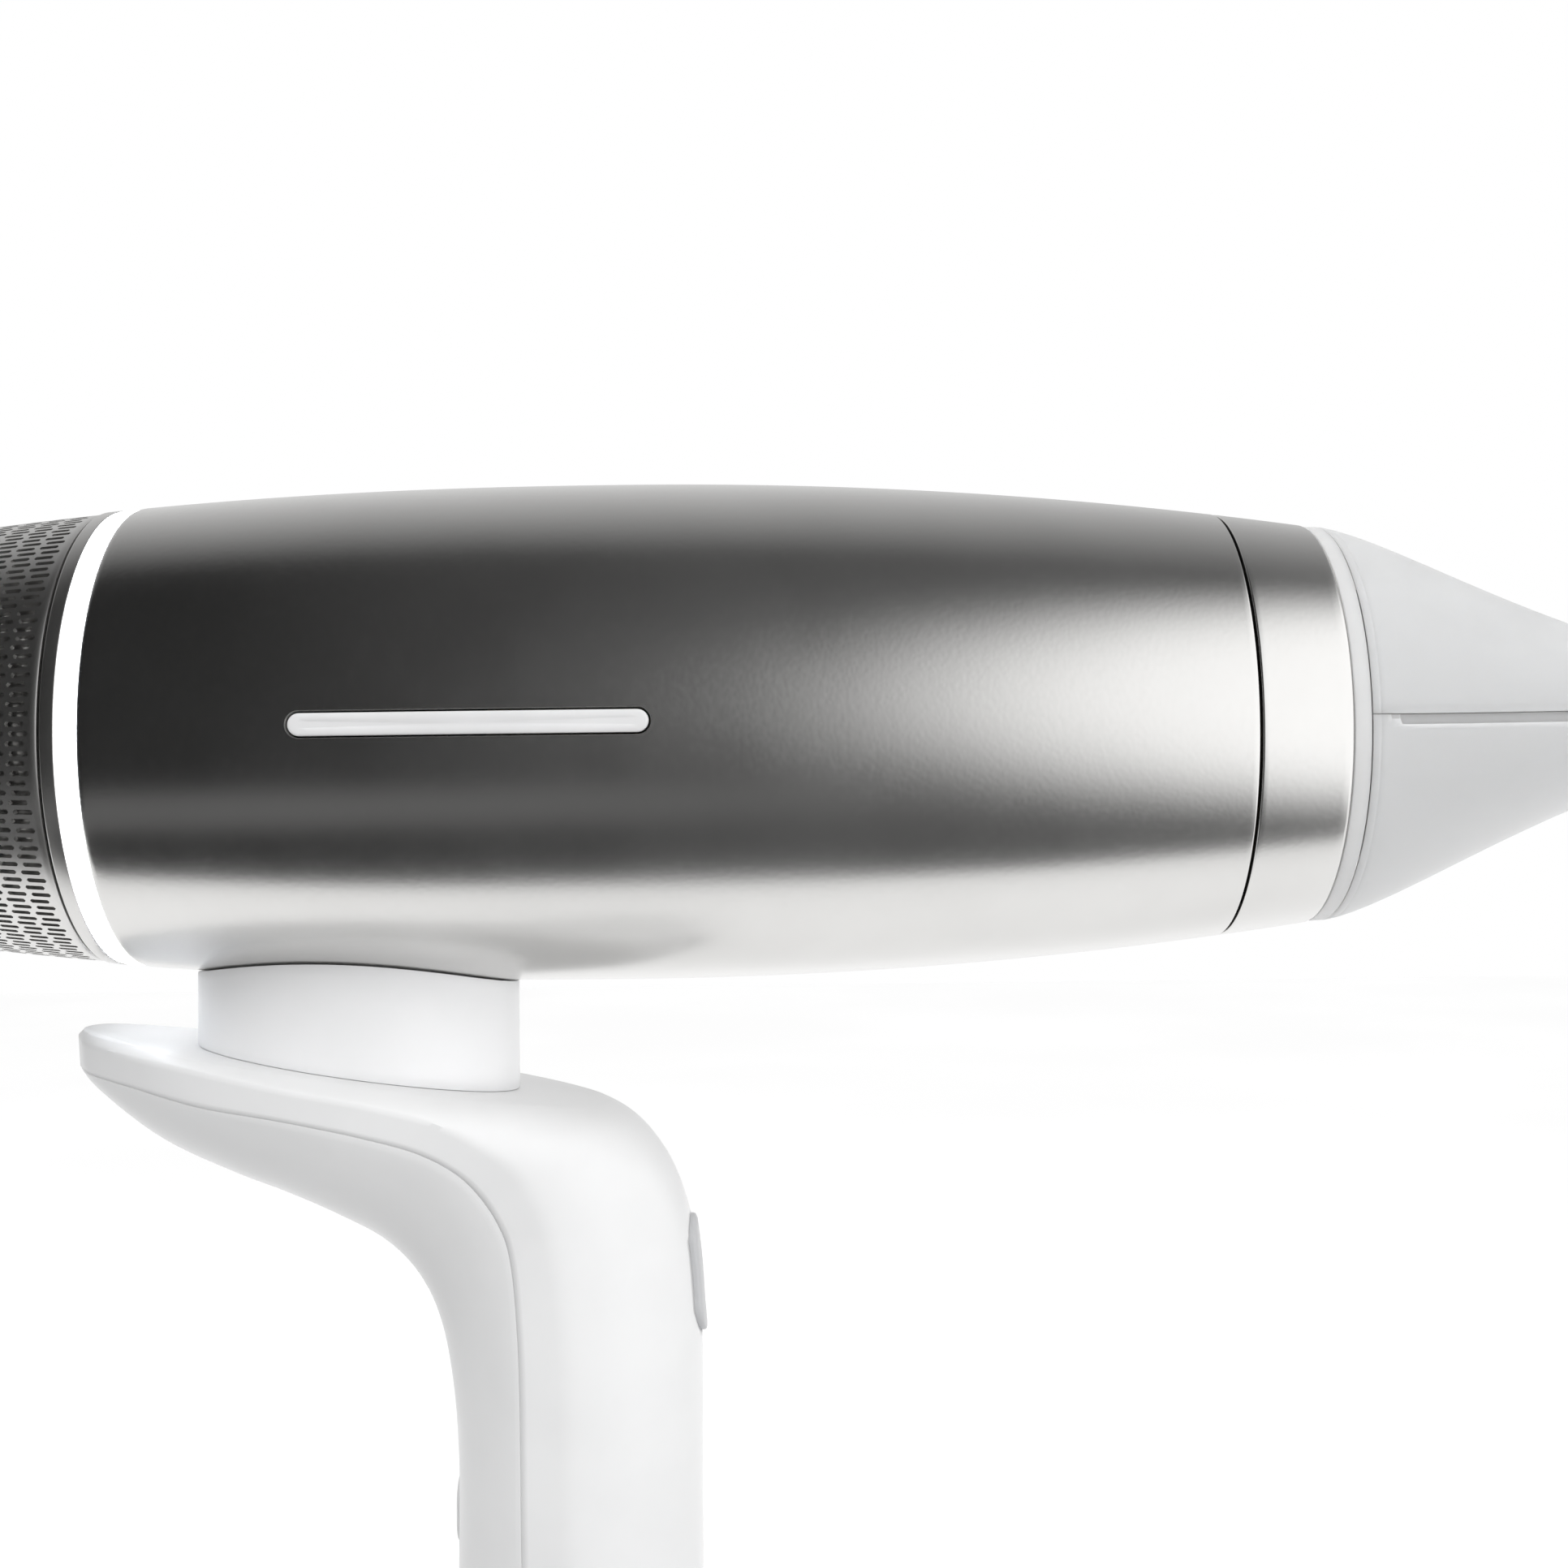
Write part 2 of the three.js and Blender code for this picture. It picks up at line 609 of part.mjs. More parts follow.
function heaterCoil(part) {
  const middle = (HEATER_X + HEATER_END_X) / 2;
  const [x0, x1] = part === 0 ? [HEATER_X + 3, middle - 2] : [middle + 2, HEATER_END_X - 3];
  const turns = COIL_TURNS / 2;
  // A polygon of turns runs inside its circle, so the wire stands off by that much more.
  const radius = (FRAME_R() + WIRE_R + FIT) / Math.cos(Math.PI / COIL_STEPS_PER_TURN);
  return swept(new Helix(x0, x1, radius, turns), WIRE_R, turns * COIL_STEPS_PER_TURN, 6);
}

const thermostat = () =>
  rod([HEATER_X + 12, MICA / 2 + FIT, 9], [HEATER_X + 12, MICA / 2 + FIT + 3.5, 9], 4.5);
const thermalFuse = () =>
  rod([HEATER_X + 26, MICA / 2 + FIT + 1.6, 9], [HEATER_X + 38, MICA / 2 + FIT + 1.6, 9], 1.6);

// A small ion source on the sleeve's inner wall, with a needle towards the outlet.
function ionSource() {
  const top = FRAME_R() - 1;
  const block = box(SLEEVE_END_X - 5, SLEEVE_END_X + 1, -3, 3, top - 4, top);
  return block.add(rod([SLEEVE_END_X, 0, top - 2], [SLEEVE_END_X + 4, 0, top - 2], 0.5, 8));
}

// Rings and spokes across the outlet, held inside the front collar.
function outletGrille() {
  const [x0, x1] = [SLEEVE_END_X + 6, SLEEVE_END_X + 6 + GRILLE_DEPTH];
  const rim = shellRadius(x1) - WALL - FIT - 0.3;
  const rings = [rim, rim * 0.6].map((r) => tube(x0, x1, r - 1.2, r));
  const hub = bar(x0, x1, rim * 0.16, 12);
  const spoke = box(x0, x1, -0.6, 0.6, 1, rim - 0.6);
  return joined([...rings, hub, aroundX(spoke, 6)]);
}

// ---------------------------------------------------------------- nozzle

const BASE_X = FRONT_X + FIT;
const NOZZLE_X = BASE_X + NOZZLE_BASE + FIT;
const MOUTH_X = NOZZLE_X + NOZZLE_LENGTH;
const BASE_R = () => shellRadius(FRONT_X) - 0.2;
const THROAT_R = OUTLET_R - 2 * FIT - 1.6 - FIT; // the inner duct's outer radius inside the base's spigot

const nozzleBase = () => {
  const spigotOuter = OUTLET_R - 2 * FIT;
  const spigotInner = THROAT_R + FIT;
  return turned([
    [BASE_X - NOZZLE_SPIGOT, spigotInner],
    [BASE_X - NOZZLE_SPIGOT, spigotOuter],
    [BASE_X, spigotOuter],
    [BASE_X, BASE_R()],
    [BASE_X + NOZZLE_BASE, BASE_R() - 0.3],
    [BASE_X + NOZZLE_BASE, BASE_R() - 4],
    [BASE_X + NOZZLE_BASE - 1, BASE_R() - 4],
    [BASE_X + NOZZLE_BASE - 1, spigotInner],
  ]);
};

// The steel ring that the magnets hold, in a recess of the nozzle's base.
const steelRing = () =>
  tube(BASE_X + NOZZLE_BASE - 1 + FIT, BASE_X + NOZZLE_BASE + FIT, THROAT_R + 2 * FIT, BASE_R() - 4 - FIT, 32);

// A ring of the nozzle at t from its base (0) to its mouth (1), at a distance inside its outer surface.
function nozzleRing(t, startR, endY, endZ, sides = 24) {
  const ease = t * t * (3 - 2 * t);
  const fall = 1 - (1 - t ** 1.38) ** 2.04;
  const halfZ = startR + (endZ - startR) * fall;
  const halfY = startR + (endY - startR) * ease;
  const power = 2 + 0.7 * ease;
  return [...Array(sides).keys()].map((i) => {
    const turn = (2 * Math.PI * (i + 0.5)) / sides;
    const [c, s] = [Math.cos(turn), Math.sin(turn)];
    const y = halfY * Math.sign(c) * Math.abs(c) ** (2 / power);
    const z = halfZ * Math.sign(s) * Math.abs(s) ** (2 / power);
    return new THREE.Vector3(NOZZLE_X + NOZZLE_LENGTH * t, y, z);
  });
}

const NOZZLE_STEPS = 8;

// The nozzle as a solid: its outer surface at inset 0, or the surface that far inside it.
function nozzleBody(startR, endY, endZ, overrun = 0) {
  const stations = [...Array(NOZZLE_STEPS + 1).keys()].map((i) => i / NOZZLE_STEPS);
  const rings = stations.map((t) => nozzleRing(t, startR, endY, endZ));
  if (overrun > 0) {
    const shift = (ring, dx) => ring.map((p) => p.clone().setX(p.x + dx));
    rings.unshift(shift(rings[0], -overrun));
    rings.push(shift(rings[rings.length - 1], overrun));
  }
  return loft(rings);
}

const INNER_GAP = 1.6; // air space between the nozzle's shells and its inner duct
const DUCT_SKIN = 1.2;

function nozzleShells() {
  const outer = nozzleBody(BASE_R() - 0.1, MOUTH_HALF_WIDTH, MOUTH_HALF_HEIGHT);
  const hollow = nozzleBody(
    BASE_R() - NOZZLE_WALL,
    MOUTH_HALF_WIDTH - NOZZLE_WALL,
    MOUTH_HALF_HEIGHT - NOZZLE_WALL,
    1,
  );
  const shell = outer.subtract(hollow);
  const wide = MOUTH_HALF_WIDTH + BASE_R();
  const upperHalf = box(NOZZLE_X - 2, MOUTH_X + 2, -wide, wide, FIT / 2, wide);
  const lowerHalf = box(NOZZLE_X - 2, MOUTH_X + 2, -wide, wide, -wide, -FIT / 2);
  const slit = box(NOZZLE_X + PARTING_X, MOUTH_X + 2, -wide, wide, -SLIT, FIT);
  return [shell.intersect(upperHalf), shell.intersect(lowerHalf).subtract(slit)];
}

// The inner duct: round where it turns in the base, and a slot at the mouth.
function nozzleDuct() {
  const endY = MOUTH_HALF_WIDTH - NOZZLE_WALL - INNER_GAP;
  const endZ = MOUTH_HALF_HEIGHT - NOZZLE_WALL - FIT;
  const outer = nozzleBody(THROAT_R - FIT, endY, endZ);
  const hollow = nozzleBody(THROAT_R - FIT - DUCT_SKIN, endY - DUCT_SKIN, endZ - DUCT_SKIN, 1);
  const throat = tube(BASE_X - NOZZLE_SPIGOT, NOZZLE_X + 0.01, THROAT_R - FIT - DUCT_SKIN, THROAT_R - FIT, 32);
  return outer.subtract(hollow).add(throat);
}

// ---------------------------------------------------------------- neck

// The neck: an upright oval sleeve from the handle's flat top to the barrel, with a spigot inside the barrel.
function neckSleeve() {
  const lowest = BELOW + HEAD_Z - HEAD_HALF_Y;
  const barrelSkin = turned([...surface(REAR_X, COLLAR_X, 10, SEAM), [COLLAR_X, 0], [REAR_X, 0]]);
  const outside = ellipticBar(NECK_X, NECK_HALF_X, NECK_HALF_Y, lowest, 0).subtract(barrelSkin);
  const duct = turned([
    [REAR_X, 0],
    [REAR_X, DUCT_R() + DAMPER + 1.5],
    [COLLAR_X, DUCT_R() + DAMPER + 1.5],
    [COLLAR_X, 0],
  ]);
  const spigot = neckColumn(0, lowest, 0).subtract(duct);
  const hollow = neckColumn(-NECK_WALL, lowest - 1, 1);
  return outside.add(spigot).subtract(hollow).subtract(belowHead(FIT, BELOW));
}

// Everything under the handle's flat top, raised by a gap, in a frame whose origin is at height `from` below its own.
function belowHead(gap, from = 0) {
  const [x0, x1] = [NECK_X - 80, NECK_X + 80];
  const shape = new THREE.Shape();
  shape.moveTo(x0, from + headTop(x0) + gap);
  shape.lineTo(x1, from + headTop(x1) + gap);
  shape.lineTo(x1, from - 100);
  shape.lineTo(x0, from - 100);
  shape.closePath();
  const slab = new THREE.ExtrudeGeometry(shape, { depth: 160, bevelEnabled: false });
  slab.translate(0, 0, -80);
  slab.rotateX(Math.PI / 2);
  return solid(slab);
}

// ---------------------------------------------------------------- handle

// Stations down the handle, from the head's rear tip, over the bend, to below the grip. Each one gives where the
// front line, the upper crease, the lower crease and the back line run: x from the neck for the head's stations
// and from the grip's middle for the others, z from the flat top or from the grip's middle, and the creases' half
// width as a share of the head's or the grip's.
const HEAD_STATIONS = [
  { front: [-43.8, 5.9], upper: [-43.6, 5.3, 0.11], lower: [-43.3, 0.8, 0.11], back: [-43.2, 0.3] },
  { front: [-40.5, 8.3], upper: [-40.8, 4.9, 0.34], lower: [-40.3, 0.2, 0.34], back: [-39.4, -3.5] },
  { front: [-31, 6.9], upper: [-31.5, 3.5, 0.64], lower: [-31, -1.3, 0.63], back: [-29.5, -10.9] },
  { front: [-20, 5.2], upper: [-19.9, 1.8, 0.86], lower: [-20, -3.5, 0.85], back: [-18, -16.1] },
  { front: [-6, 3], upper: [-6.5, -0.9, 0.97], lower: [-7, -5.4, 0.96], back: [-9, -19.6] },
  { front: [8, 0.8], upper: [6.5, -3.3, 1], lower: [5, -7.9, 0.985], back: [-1.5, -23.1] },
  { front: [22, -1.5], upper: [16, -6, 0.985], lower: [13, -10.3, 0.965], back: [4.5, -26.5] },
  { front: [34, -4.1], upper: [22.1, -9.5, 0.94], lower: [18.5, -13.5, 0.925], back: [8.5, -30.3] },
  { front: [42.9, -8.1], upper: [26.5, -12.8, 0.9], lower: [21.8, -17.1, 0.88], back: [11.2, -34.5] },
  { front: [48.6, -14.7], upper: [29.4, -17.7, 0.855], lower: [24.2, -21.1, 0.845], back: [13, -39.2] },
  { front: [52, -23.7], upper: [31.6, -23.9, 0.815], lower: [25.6, -25.2, 0.81], back: [14.2, -44.7] },
];
const GRIP_STATIONS = [
  { front: [GRIP_FRONT, 50], upper: [-0.6, 50, 1], lower: [-7.2, 50, 1], back: [-GRIP_BACK, 32] },
  { front: [GRIP_FRONT, 20], upper: [0, 20, 0.99], lower: [-6.8, 20, 0.99], back: [-GRIP_BACK, 8] },
  { front: [GRIP_FRONT - 0.3, -20], upper: [0, -20, 0.96], lower: [-6.6, -20, 0.96], back: [0.3 - GRIP_BACK, -24] },
  { front: [GRIP_FRONT - 0.8, -68], upper: [0, -68, 0.92], lower: [-6.4, -68, 0.92], back: [0.8 - GRIP_BACK, -68] },
];

// One rail of the handle as a curve through its stations.
function rail(key) {
  const head = HEAD_STATIONS.map((station) => {
    const [x, z, width = 0] = station[key];
    return new THREE.Vector3(NECK_X + x, width * HEAD_HALF_Y, HEAD_Z + z);
  });
  const grip = GRIP_STATIONS.map((station) => {
    const [x, z, width = 0] = station[key];
    return new THREE.Vector3(x, width * GRIP_HALF_Y, z);
  });
  return new THREE.CatmullRomCurve3([...head, ...grip], false, "centripetal");
}

const RAILS = Object.fromEntries(["front", "upper", "lower", "back"].map((key) => [key, rail(key)]));
const STATIONS = HEAD_STATIONS.length + GRIP_STATIONS.length - 1;

// A quarter of a rounded section, from a point on the middle plane (0) to a crease (1).
function quarter(middle, crease, share, power) {
  const turn = (share * Math.PI) / 2;
  const [rise, out] = [Math.cos(turn) ** (2 / power), Math.sin(turn) ** (2 / power)];
  return new THREE.Vector3(
    crease.x + (middle.x - crease.x) * rise,
    crease.y * out,
    crease.z + (middle.z - crease.z) * rise,
  );
}

// The handle's section at station s, inset by a wall.
function handleRing(s, inset) {
  const t = s / STATIONS;
  const [front, upper, lower, back] = ["front", "upper", "lower", "back"].map((key) => RAILS[key].getPoint(t));
  const inwards = back.clone().sub(front).setY(0).normalize().multiplyScalar(inset);
  front.add(inwards);
  back.sub(inwards);
  upper.y = Math.max(upper.y - inset, 1);
  lower.y = Math.max(lower.y - inset, 1);
  const power = s < 6 ? 2.6 : Math.max(2.1, 2.6 - (s - 6) * 0.12);
  const side = [
    ...[0, 0.25, 0.5, 0.75, 1].map((share) => quarter(front, upper, share, power)),
    ...[1, 0.72, 0.45, 0.2, 0].map((share) => quarter(back, lower, share, 2.1)),
  ];
  const mirrored = side
    .slice(1, -1)
    .reverse()
    .map((p) => p.clone().setY(-p.y));
  return [...side, ...mirrored];
}

const HANDLE_STEPS = 22;

function handleBody(from, inset) {
  const rings = [...Array(HANDLE_STEPS + 1).keys()].map((i) =>
    handleRing(from + ((STATIONS - from) * i) / HANDLE_STEPS, inset),
  );
  return loft(rings);
}

// The part of the handle behind its lower creases, pushed back by a gap.
function behindCreases(gap) {
  const reach = 40;
  const rings = [...Array(HANDLE_STEPS + 1).keys()].map((i) => {
    const t = (0.8 + ((STATIONS - 0.8) * i) / HANDLE_STEPS) / STATIONS;
    const crease = RAILS.lower.getPoint(t);
    const back = RAILS.back.getPoint(t);
    const outwards = back.clone().sub(crease).setY(0).normalize();
    const near = crease.clone().addScaledVector(outwards, gap);
    const far = back.clone().addScaledVector(outwards, 4);
    return [near.clone().setY(reach), near.clone().setY(-reach), far.clone().setY(-reach), far.clone().setY(reach)];
  });
  return loft(rings);
}

const WIDE = 100;
const BOTTOM_Z = -GRIP_BOTTOM;
const FLOOR_Z = BOTTOM_Z + END_CAP; // the end cap's upper face

function handleShells() {
  const aboveBottom = box(-WIDE, WIDE, -WIDE, WIDE, BOTTOM_Z + END_CAP + FIT, 2 * WIDE);
  const outer = handleBody(0, 0).intersect(belowHead(0));
  const hollow = handleBody(1.6, HANDLE_WALL).intersect(belowHead(-HANDLE_WALL));
  const neckHole = neckColumn(-NECK_WALL - 2, HEAD_Z - 16, HEAD_Z + WIDE);
  const shell = outer.subtract(hollow).subtract(neckHole);
  const coolHole = pill(0, GRIP_FRONT + 5, COOL_HALF_Y + FIT, COOL_HALF_Z + FIT, 0, COOL_Z);
  const panelHole = pill(-GRIP_BACK - 5, -3, PANEL_HALF_Y + FIT, PANEL_HALF_Z + FIT);
  const gap = 0.15;
  const front = shell.subtract(behindCreases(-gap)).subtract(coolHole);
  const back = shell.intersect(behindCreases(gap)).subtract(panelHole);
  return [front.intersect(aboveBottom), back.intersect(aboveBottom)].map(largest);
}

// The biggest of a solid's separate bodies.
const largest = (body) => body.decompose().reduce((a, b) => (a.volume() > b.volume() ? a : b));

// ---------------------------------------------------------------- controls

const buttonHole = (z, halfY, halfZ) =>
  pill(-PANEL_X - 5, -PANEL_X + PANEL_THICK + 5, halfY + FIT, halfZ + FIT, 0, z);

function controlPanel() {
  const panel = pill(-PANEL_X, -PANEL_X + PANEL_THICK, PANEL_HALF_Y, PANEL_HALF_Z);
  const sliderSlot = buttonHole(SLIDER_Z + SLIDER_TRAVEL / 2, BUTTON_HALF_Y - 1.2, SLIDER_HALF_Z + SLIDER_TRAVEL / 2);
  return panel
    .subtract(buttonHole(HEAT_Z, BUTTON_HALF_Y, BUTTON_HALF_Z))
    .subtract(buttonHole(SPEED_Z, BUTTON_HALF_Y, BUTTON_HALF_Z))
    .subtract(sliderSlot);
}

const BOARD_X = -PANEL_X + PANEL_THICK + 6.5;

// A push button: its head stands proud of the panel, and its flange keeps it in.
function pushButton() {
  const head = pill(-PANEL_X - BUTTON_PROUD, -PANEL_X + PANEL_THICK + FIT, BUTTON_HALF_Y, BUTTON_HALF_Z);
  const flange = pill(
    -PANEL_X + PANEL_THICK + FIT,
    -PANEL_X + PANEL_THICK + FIT + 1,
    BUTTON_HALF_Y + 0.8,
    BUTTON_HALF_Z + 0.8,
  );
  return head.add(flange);
}

function powerSlider() {
  const knob = pill(-PANEL_X - SLIDER_PROUD, -PANEL_X - FIT, BUTTON_HALF_Y - 0.6, SLIDER_HALF_Z);
  const stem = pill(-PANEL_X - FIT - 0.01, -PANEL_X + PANEL_THICK + FIT, BUTTON_HALF_Y - 1.2, SLIDER_HALF_Z);
  const foot = pill(-PANEL_X + PANEL_THICK + FIT - 0.01, -PANEL_X + PANEL_THICK + 1.4, BUTTON_HALF_Y, SLIDER_HALF_Z);
  return joined([knob, stem, foot]);
}

// The cool-shot button in the grip's front, its face cut to the grip's own curve and set proud of it.
function coolButton() {
  const block = pill(GRIP_FRONT - HANDLE_WALL - 4, GRIP_FRONT + 4, COOL_HALF_Y, COOL_HALF_Z, 0, COOL_Z);
  const proud = handleBody(0, 0).translate([COOL_PROUD, 0, 0]);
  const flange = pill(
    GRIP_FRONT - HANDLE_WALL - 6,
    GRIP_FRONT - HANDLE_WALL - 4,
    COOL_HALF_Y + 0.8,
    COOL_HALF_Z + 0.8,
    0,
    COOL_Z,
  );
  return block.intersect(proud).add(flange);
}

const controlBoard = () => box(BOARD_X, BOARD_X + 1.6, -PANEL_HALF_Y, PANEL_HALF_Y, -PANEL_HALF_Z + 4, PANEL_HALF_Z - 2);

// A small switch on the board under each button.
const SWITCH_DEPTH = 2.4;
const tactSwitch = () => box(BOARD_X - FIT - SWITCH_DEPTH, BOARD_X - FIT, -3, 3, -3, 3);
const coolSwitch = () => {
  const face = GRIP_FRONT - HANDLE_WALL - 6 - COOL_TRAVEL - FIT;
  return box(face - SWITCH_DEPTH, face, -3, 3, COOL_Z - 3, COOL_Z + 3);
};

// ---------------------------------------------------------------- cord end and wiring

const gripSection = (inset) => handleRing(STATIONS - 0.2, inset);

// The end cap closes the handle's lower end and holds the gland.
function endCap() {
  const body = handleBody(0, 0).intersect(box(-WIDE, WIDE, -WIDE, WIDE, BOTTOM_Z, FLOOR_Z));
  const plug = handleBody(0, HANDLE_WALL + FIT).intersect(box(-WIDE, WIDE, -WIDE, WIDE, FLOOR_Z - 1, FLOOR_Z + 3));
  const bore = rod([0, 0, BOTTOM_Z - 1], [0, 0, FLOOR_Z + 5], GLAND_R + FIT, INNER_ROUND);
  return body.add(plug).subtract(bore);
}

// The gland that the cord enters through: a rubber bush with a flange inside the cap.
function cordGland() {
  const bush = rod([0, 0, BOTTOM_Z + 0.2], [0, 0, FLOOR_Z + 3 + FIT], GLAND_R, INNER_ROUND);
  const flange = rod([0, 0, FLOOR_Z + 3 + FIT], [0, 0, FLOOR_Z + 5], GLAND_R + 2, INNER_ROUND);
  const bore = rod([0, 0, BOTTOM_Z - 1], [0, 0, FLOOR_Z + 6], GLAND_BORE, INNER_ROUND);
  return bush.add(flange).subtract(bore);
}

// The wires from the gland, past the board, up through the neck to the motor and heater.
function wiringLoom() {
  const route = new THREE.CatmullRomCurve3([
    new THREE.Vector3(2, 0, FLOOR_Z + 6),
    new THREE.Vector3(3, 0, FLOOR_Z + 24),
    new THREE.Vector3(3, 0, 10),
    new THREE.Vector3(1, 0, 36),
    new THREE.Vector3(-8, 0, 56),
    new THREE.Vector3(NECK_X + 8, 0, HEAD_Z - 14),
    new THREE.Vector3(NECK_X + 1, 0, HEAD_Z - 2),
    new THREE.Vector3(NECK_X, 0, AXIS_Z - DUCT_R() - DAMPER - 2 * FIT),
  ]);
  return swept(route, LOOM_R, 30, 8);
}

// ---------------------------------------------------------------- assembly

add(barrel, "barrel_shell", barrelShell(), satinMetal());
add(barrel, "front_collar", frontCollar(), satinMetal());
for (let i = 0; i < MAGNETS; i++) {
  const turn = THREE.MathUtils.degToRad(45 + (360 * i) / MAGNETS);
  const place = [0, -MAGNET_RING_R() * Math.sin(turn), MAGNET_RING_R() * Math.cos(turn)];
  add(barrel, `collar_magnet_${i + 1}`, magnet(), steel(), place);
}
add(barrel, "light_ring", lightRing(), lightGuide());
add(barrel, "light_ring_board", lightRingBoard(), circuitBoard());
add(barrel, "rear_collar", rearCollar(), satinMetal());
add(barrel, "indicator_bar", indicatorBar(), lightGuide());
add(barrel, "indicator_board", indicatorBoard(), circuitBoard());

add(barrel, "intake_cap", intakeCap(), satinMetal());
add(barrel, "filter_basket", filterBasket(), darkPlastic());

add(barrel, "fan_duct", fanDuct(), darkPlastic());
add(barrel, "duct_damper_rear", damperRing(DUCT_X + 6), rubber());
add(barrel, "duct_damper_front", damperRing(DUCT_END_X - 8), rubber());
add(barrel, "inlet_guard", inletGuard(), darkPlastic());
add(barrel, "impeller", impeller(), finish(0xd8d8d6, 0.4, 0));
add(barrel, "motor_shaft", motorShaft(), steel());
add(barrel, "rotor_magnet", rotorMagnet(), steel());
add(barrel, "bearing_rear", bearing(MOTOR_X + FIT), steel());
add(barrel, "bearing_front", bearing(MOTOR_END_X - CAN_WALL - 2 * FIT - BEARING_LENGTH), steel());
add(barrel, "motor_can", motorCan(), darkPlastic());
add(barrel, "stator_core", statorCore(), steel());
add(barrel, "winding_rear", winding(MOTOR_X + 8 - FIT - 2.2), copper());
add(barrel, "winding_front", winding(MOTOR_END_X - 8 + FIT), copper());

add(barrel, "heater_sleeve", heaterSleeve(), mica());
add(barrel, "mica_plate_upright", micaPlate(true), mica());
add(barrel, "mica_plate_flat", micaPlate(false), mica());
add(barrel, "heater_coil_rear", heaterCoil(0), steel());
add(barrel, "heater_coil_front", heaterCoil(1), steel());
add(barrel, "thermostat", thermostat(), steel());
add(barrel, "thermal_fuse", thermalFuse(), steel());
add(barrel, "ion_source", ionSource(), darkPlastic());
add(barrel, "outlet_grille", outletGrille(), darkPlastic());

const [upperShell, lowerShell] = nozzleShells();
add(barrel, "nozzle_base", nozzleBase(), nozzlePlastic());
add(barrel, "nozzle_steel_ring", steelRing(), steel());
add(barrel, "nozzle_upper_shell", upperShell, nozzlePlastic());
add(barrel, "nozzle_lower_shell", lowerShell, nozzlePlastic());
add(barrel, "nozzle_inner_duct", nozzleDuct(), nozzlePlastic());

add(barrel, "neck_sleeve", neckSleeve(), whitePlastic());

const [frontShell, rearCover] = handleShells();
add(handle, "handle_front_shell", frontShell, whitePlastic());
add(handle, "handle_rear_cover", rearCover, whitePlastic());
add(handle, "control_panel", controlPanel(), whitePlastic());
add(handle, "heat_button", pushButton(), whitePlastic(), [0, 0, HEAT_Z]);
add(handle, "speed_button", pushButton(), whitePlastic(), [0, 0, SPEED_Z]);
add(handle, "power_slider", powerSlider(), whitePlastic(), [0, 0, SLIDER_Z]);
add(handle, "cool_shot_button", coolButton(), whitePlastic());
add(handle, "control_board", controlBoard(), circuitBoard());
add(handle, "heat_switch", tactSwitch(), darkPlastic(), [0, 0, HEAT_Z]);
add(handle, "speed_switch", tactSwitch(), darkPlastic(), [0, 0, SPEED_Z]);
add(handle, "cool_switch", coolSwitch(), darkPlastic());
add(handle, "end_cap", endCap(), whitePlastic());
add(handle, "cord_gland", cordGland(), rubber());
add(handle, "wiring_loom", wiringLoom(), rubber());

export default dryer;
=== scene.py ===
# %% [markdown]
# # A hair dryer
#
# The dryer has a bulged barrel with a satin metal coat, a slotted intake cap, a ring that glows, and a
# concentrator nozzle that clips on with magnets. A short oval neck joins the barrel to a white handle.
#
# The lesson rebuilds what the eye meets at a finer grain than the engineering model has, keeps the fan, the
# motor, the heater and the wiring as they are, and gives each one a finish made of shader nodes.
#
# The first cell loads the engineering model. Everything is in metres, in the model's own frame: +X is the way
# the air leaves, +Z is up, and the origin is the middle of the grip.

# %% Load the frame
import math

import bmesh
import bpy
from mathutils import Matrix, Vector


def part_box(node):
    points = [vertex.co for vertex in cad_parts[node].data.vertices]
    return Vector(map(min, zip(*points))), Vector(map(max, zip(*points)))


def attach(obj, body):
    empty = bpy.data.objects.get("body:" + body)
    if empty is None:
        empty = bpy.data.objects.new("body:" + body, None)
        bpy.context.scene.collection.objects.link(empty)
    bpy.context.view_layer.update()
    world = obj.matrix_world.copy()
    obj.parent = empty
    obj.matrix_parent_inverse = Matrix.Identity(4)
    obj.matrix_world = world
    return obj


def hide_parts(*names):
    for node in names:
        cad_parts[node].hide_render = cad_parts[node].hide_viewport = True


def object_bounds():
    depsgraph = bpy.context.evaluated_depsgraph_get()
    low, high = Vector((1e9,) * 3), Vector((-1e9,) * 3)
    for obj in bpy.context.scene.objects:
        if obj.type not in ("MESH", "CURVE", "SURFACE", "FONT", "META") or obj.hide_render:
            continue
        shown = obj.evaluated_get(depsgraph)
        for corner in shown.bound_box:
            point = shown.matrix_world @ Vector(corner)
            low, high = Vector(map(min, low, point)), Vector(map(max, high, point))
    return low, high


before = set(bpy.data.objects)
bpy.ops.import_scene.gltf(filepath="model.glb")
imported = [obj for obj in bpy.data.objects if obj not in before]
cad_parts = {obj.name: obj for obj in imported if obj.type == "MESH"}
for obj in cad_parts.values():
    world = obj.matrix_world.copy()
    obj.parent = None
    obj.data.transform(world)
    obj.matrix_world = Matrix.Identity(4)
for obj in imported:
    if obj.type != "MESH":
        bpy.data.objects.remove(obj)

CAD_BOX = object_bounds()
print("the model's box:", CAD_BOX)

# %% [markdown]
# ## Sizes
#
# Places are read from the model's boxes, so a piece lands where the model has it. The few numbers that a box
# can't tell, such as how the barrel bulges, are written here in millimetres with the meaning they have on the
# object. One constant turns them into metres.

# %% Places along the barrel
MM = 0.001


def span(node, axis):
    """The lowest and highest place of a node of the model along an axis, in millimetres."""
    low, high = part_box(node)
    return low[axis] / MM, high[axis] / MM


def middle(node, axis):
    """The middle of a node of the model along an axis, in millimetres."""
    return sum(span(node, axis)) / 2


def half_size(node, axis):
    """Half the size of a node of the model along an axis, in millimetres."""
    low, high = span(node, axis)
    return (high - low) / 2


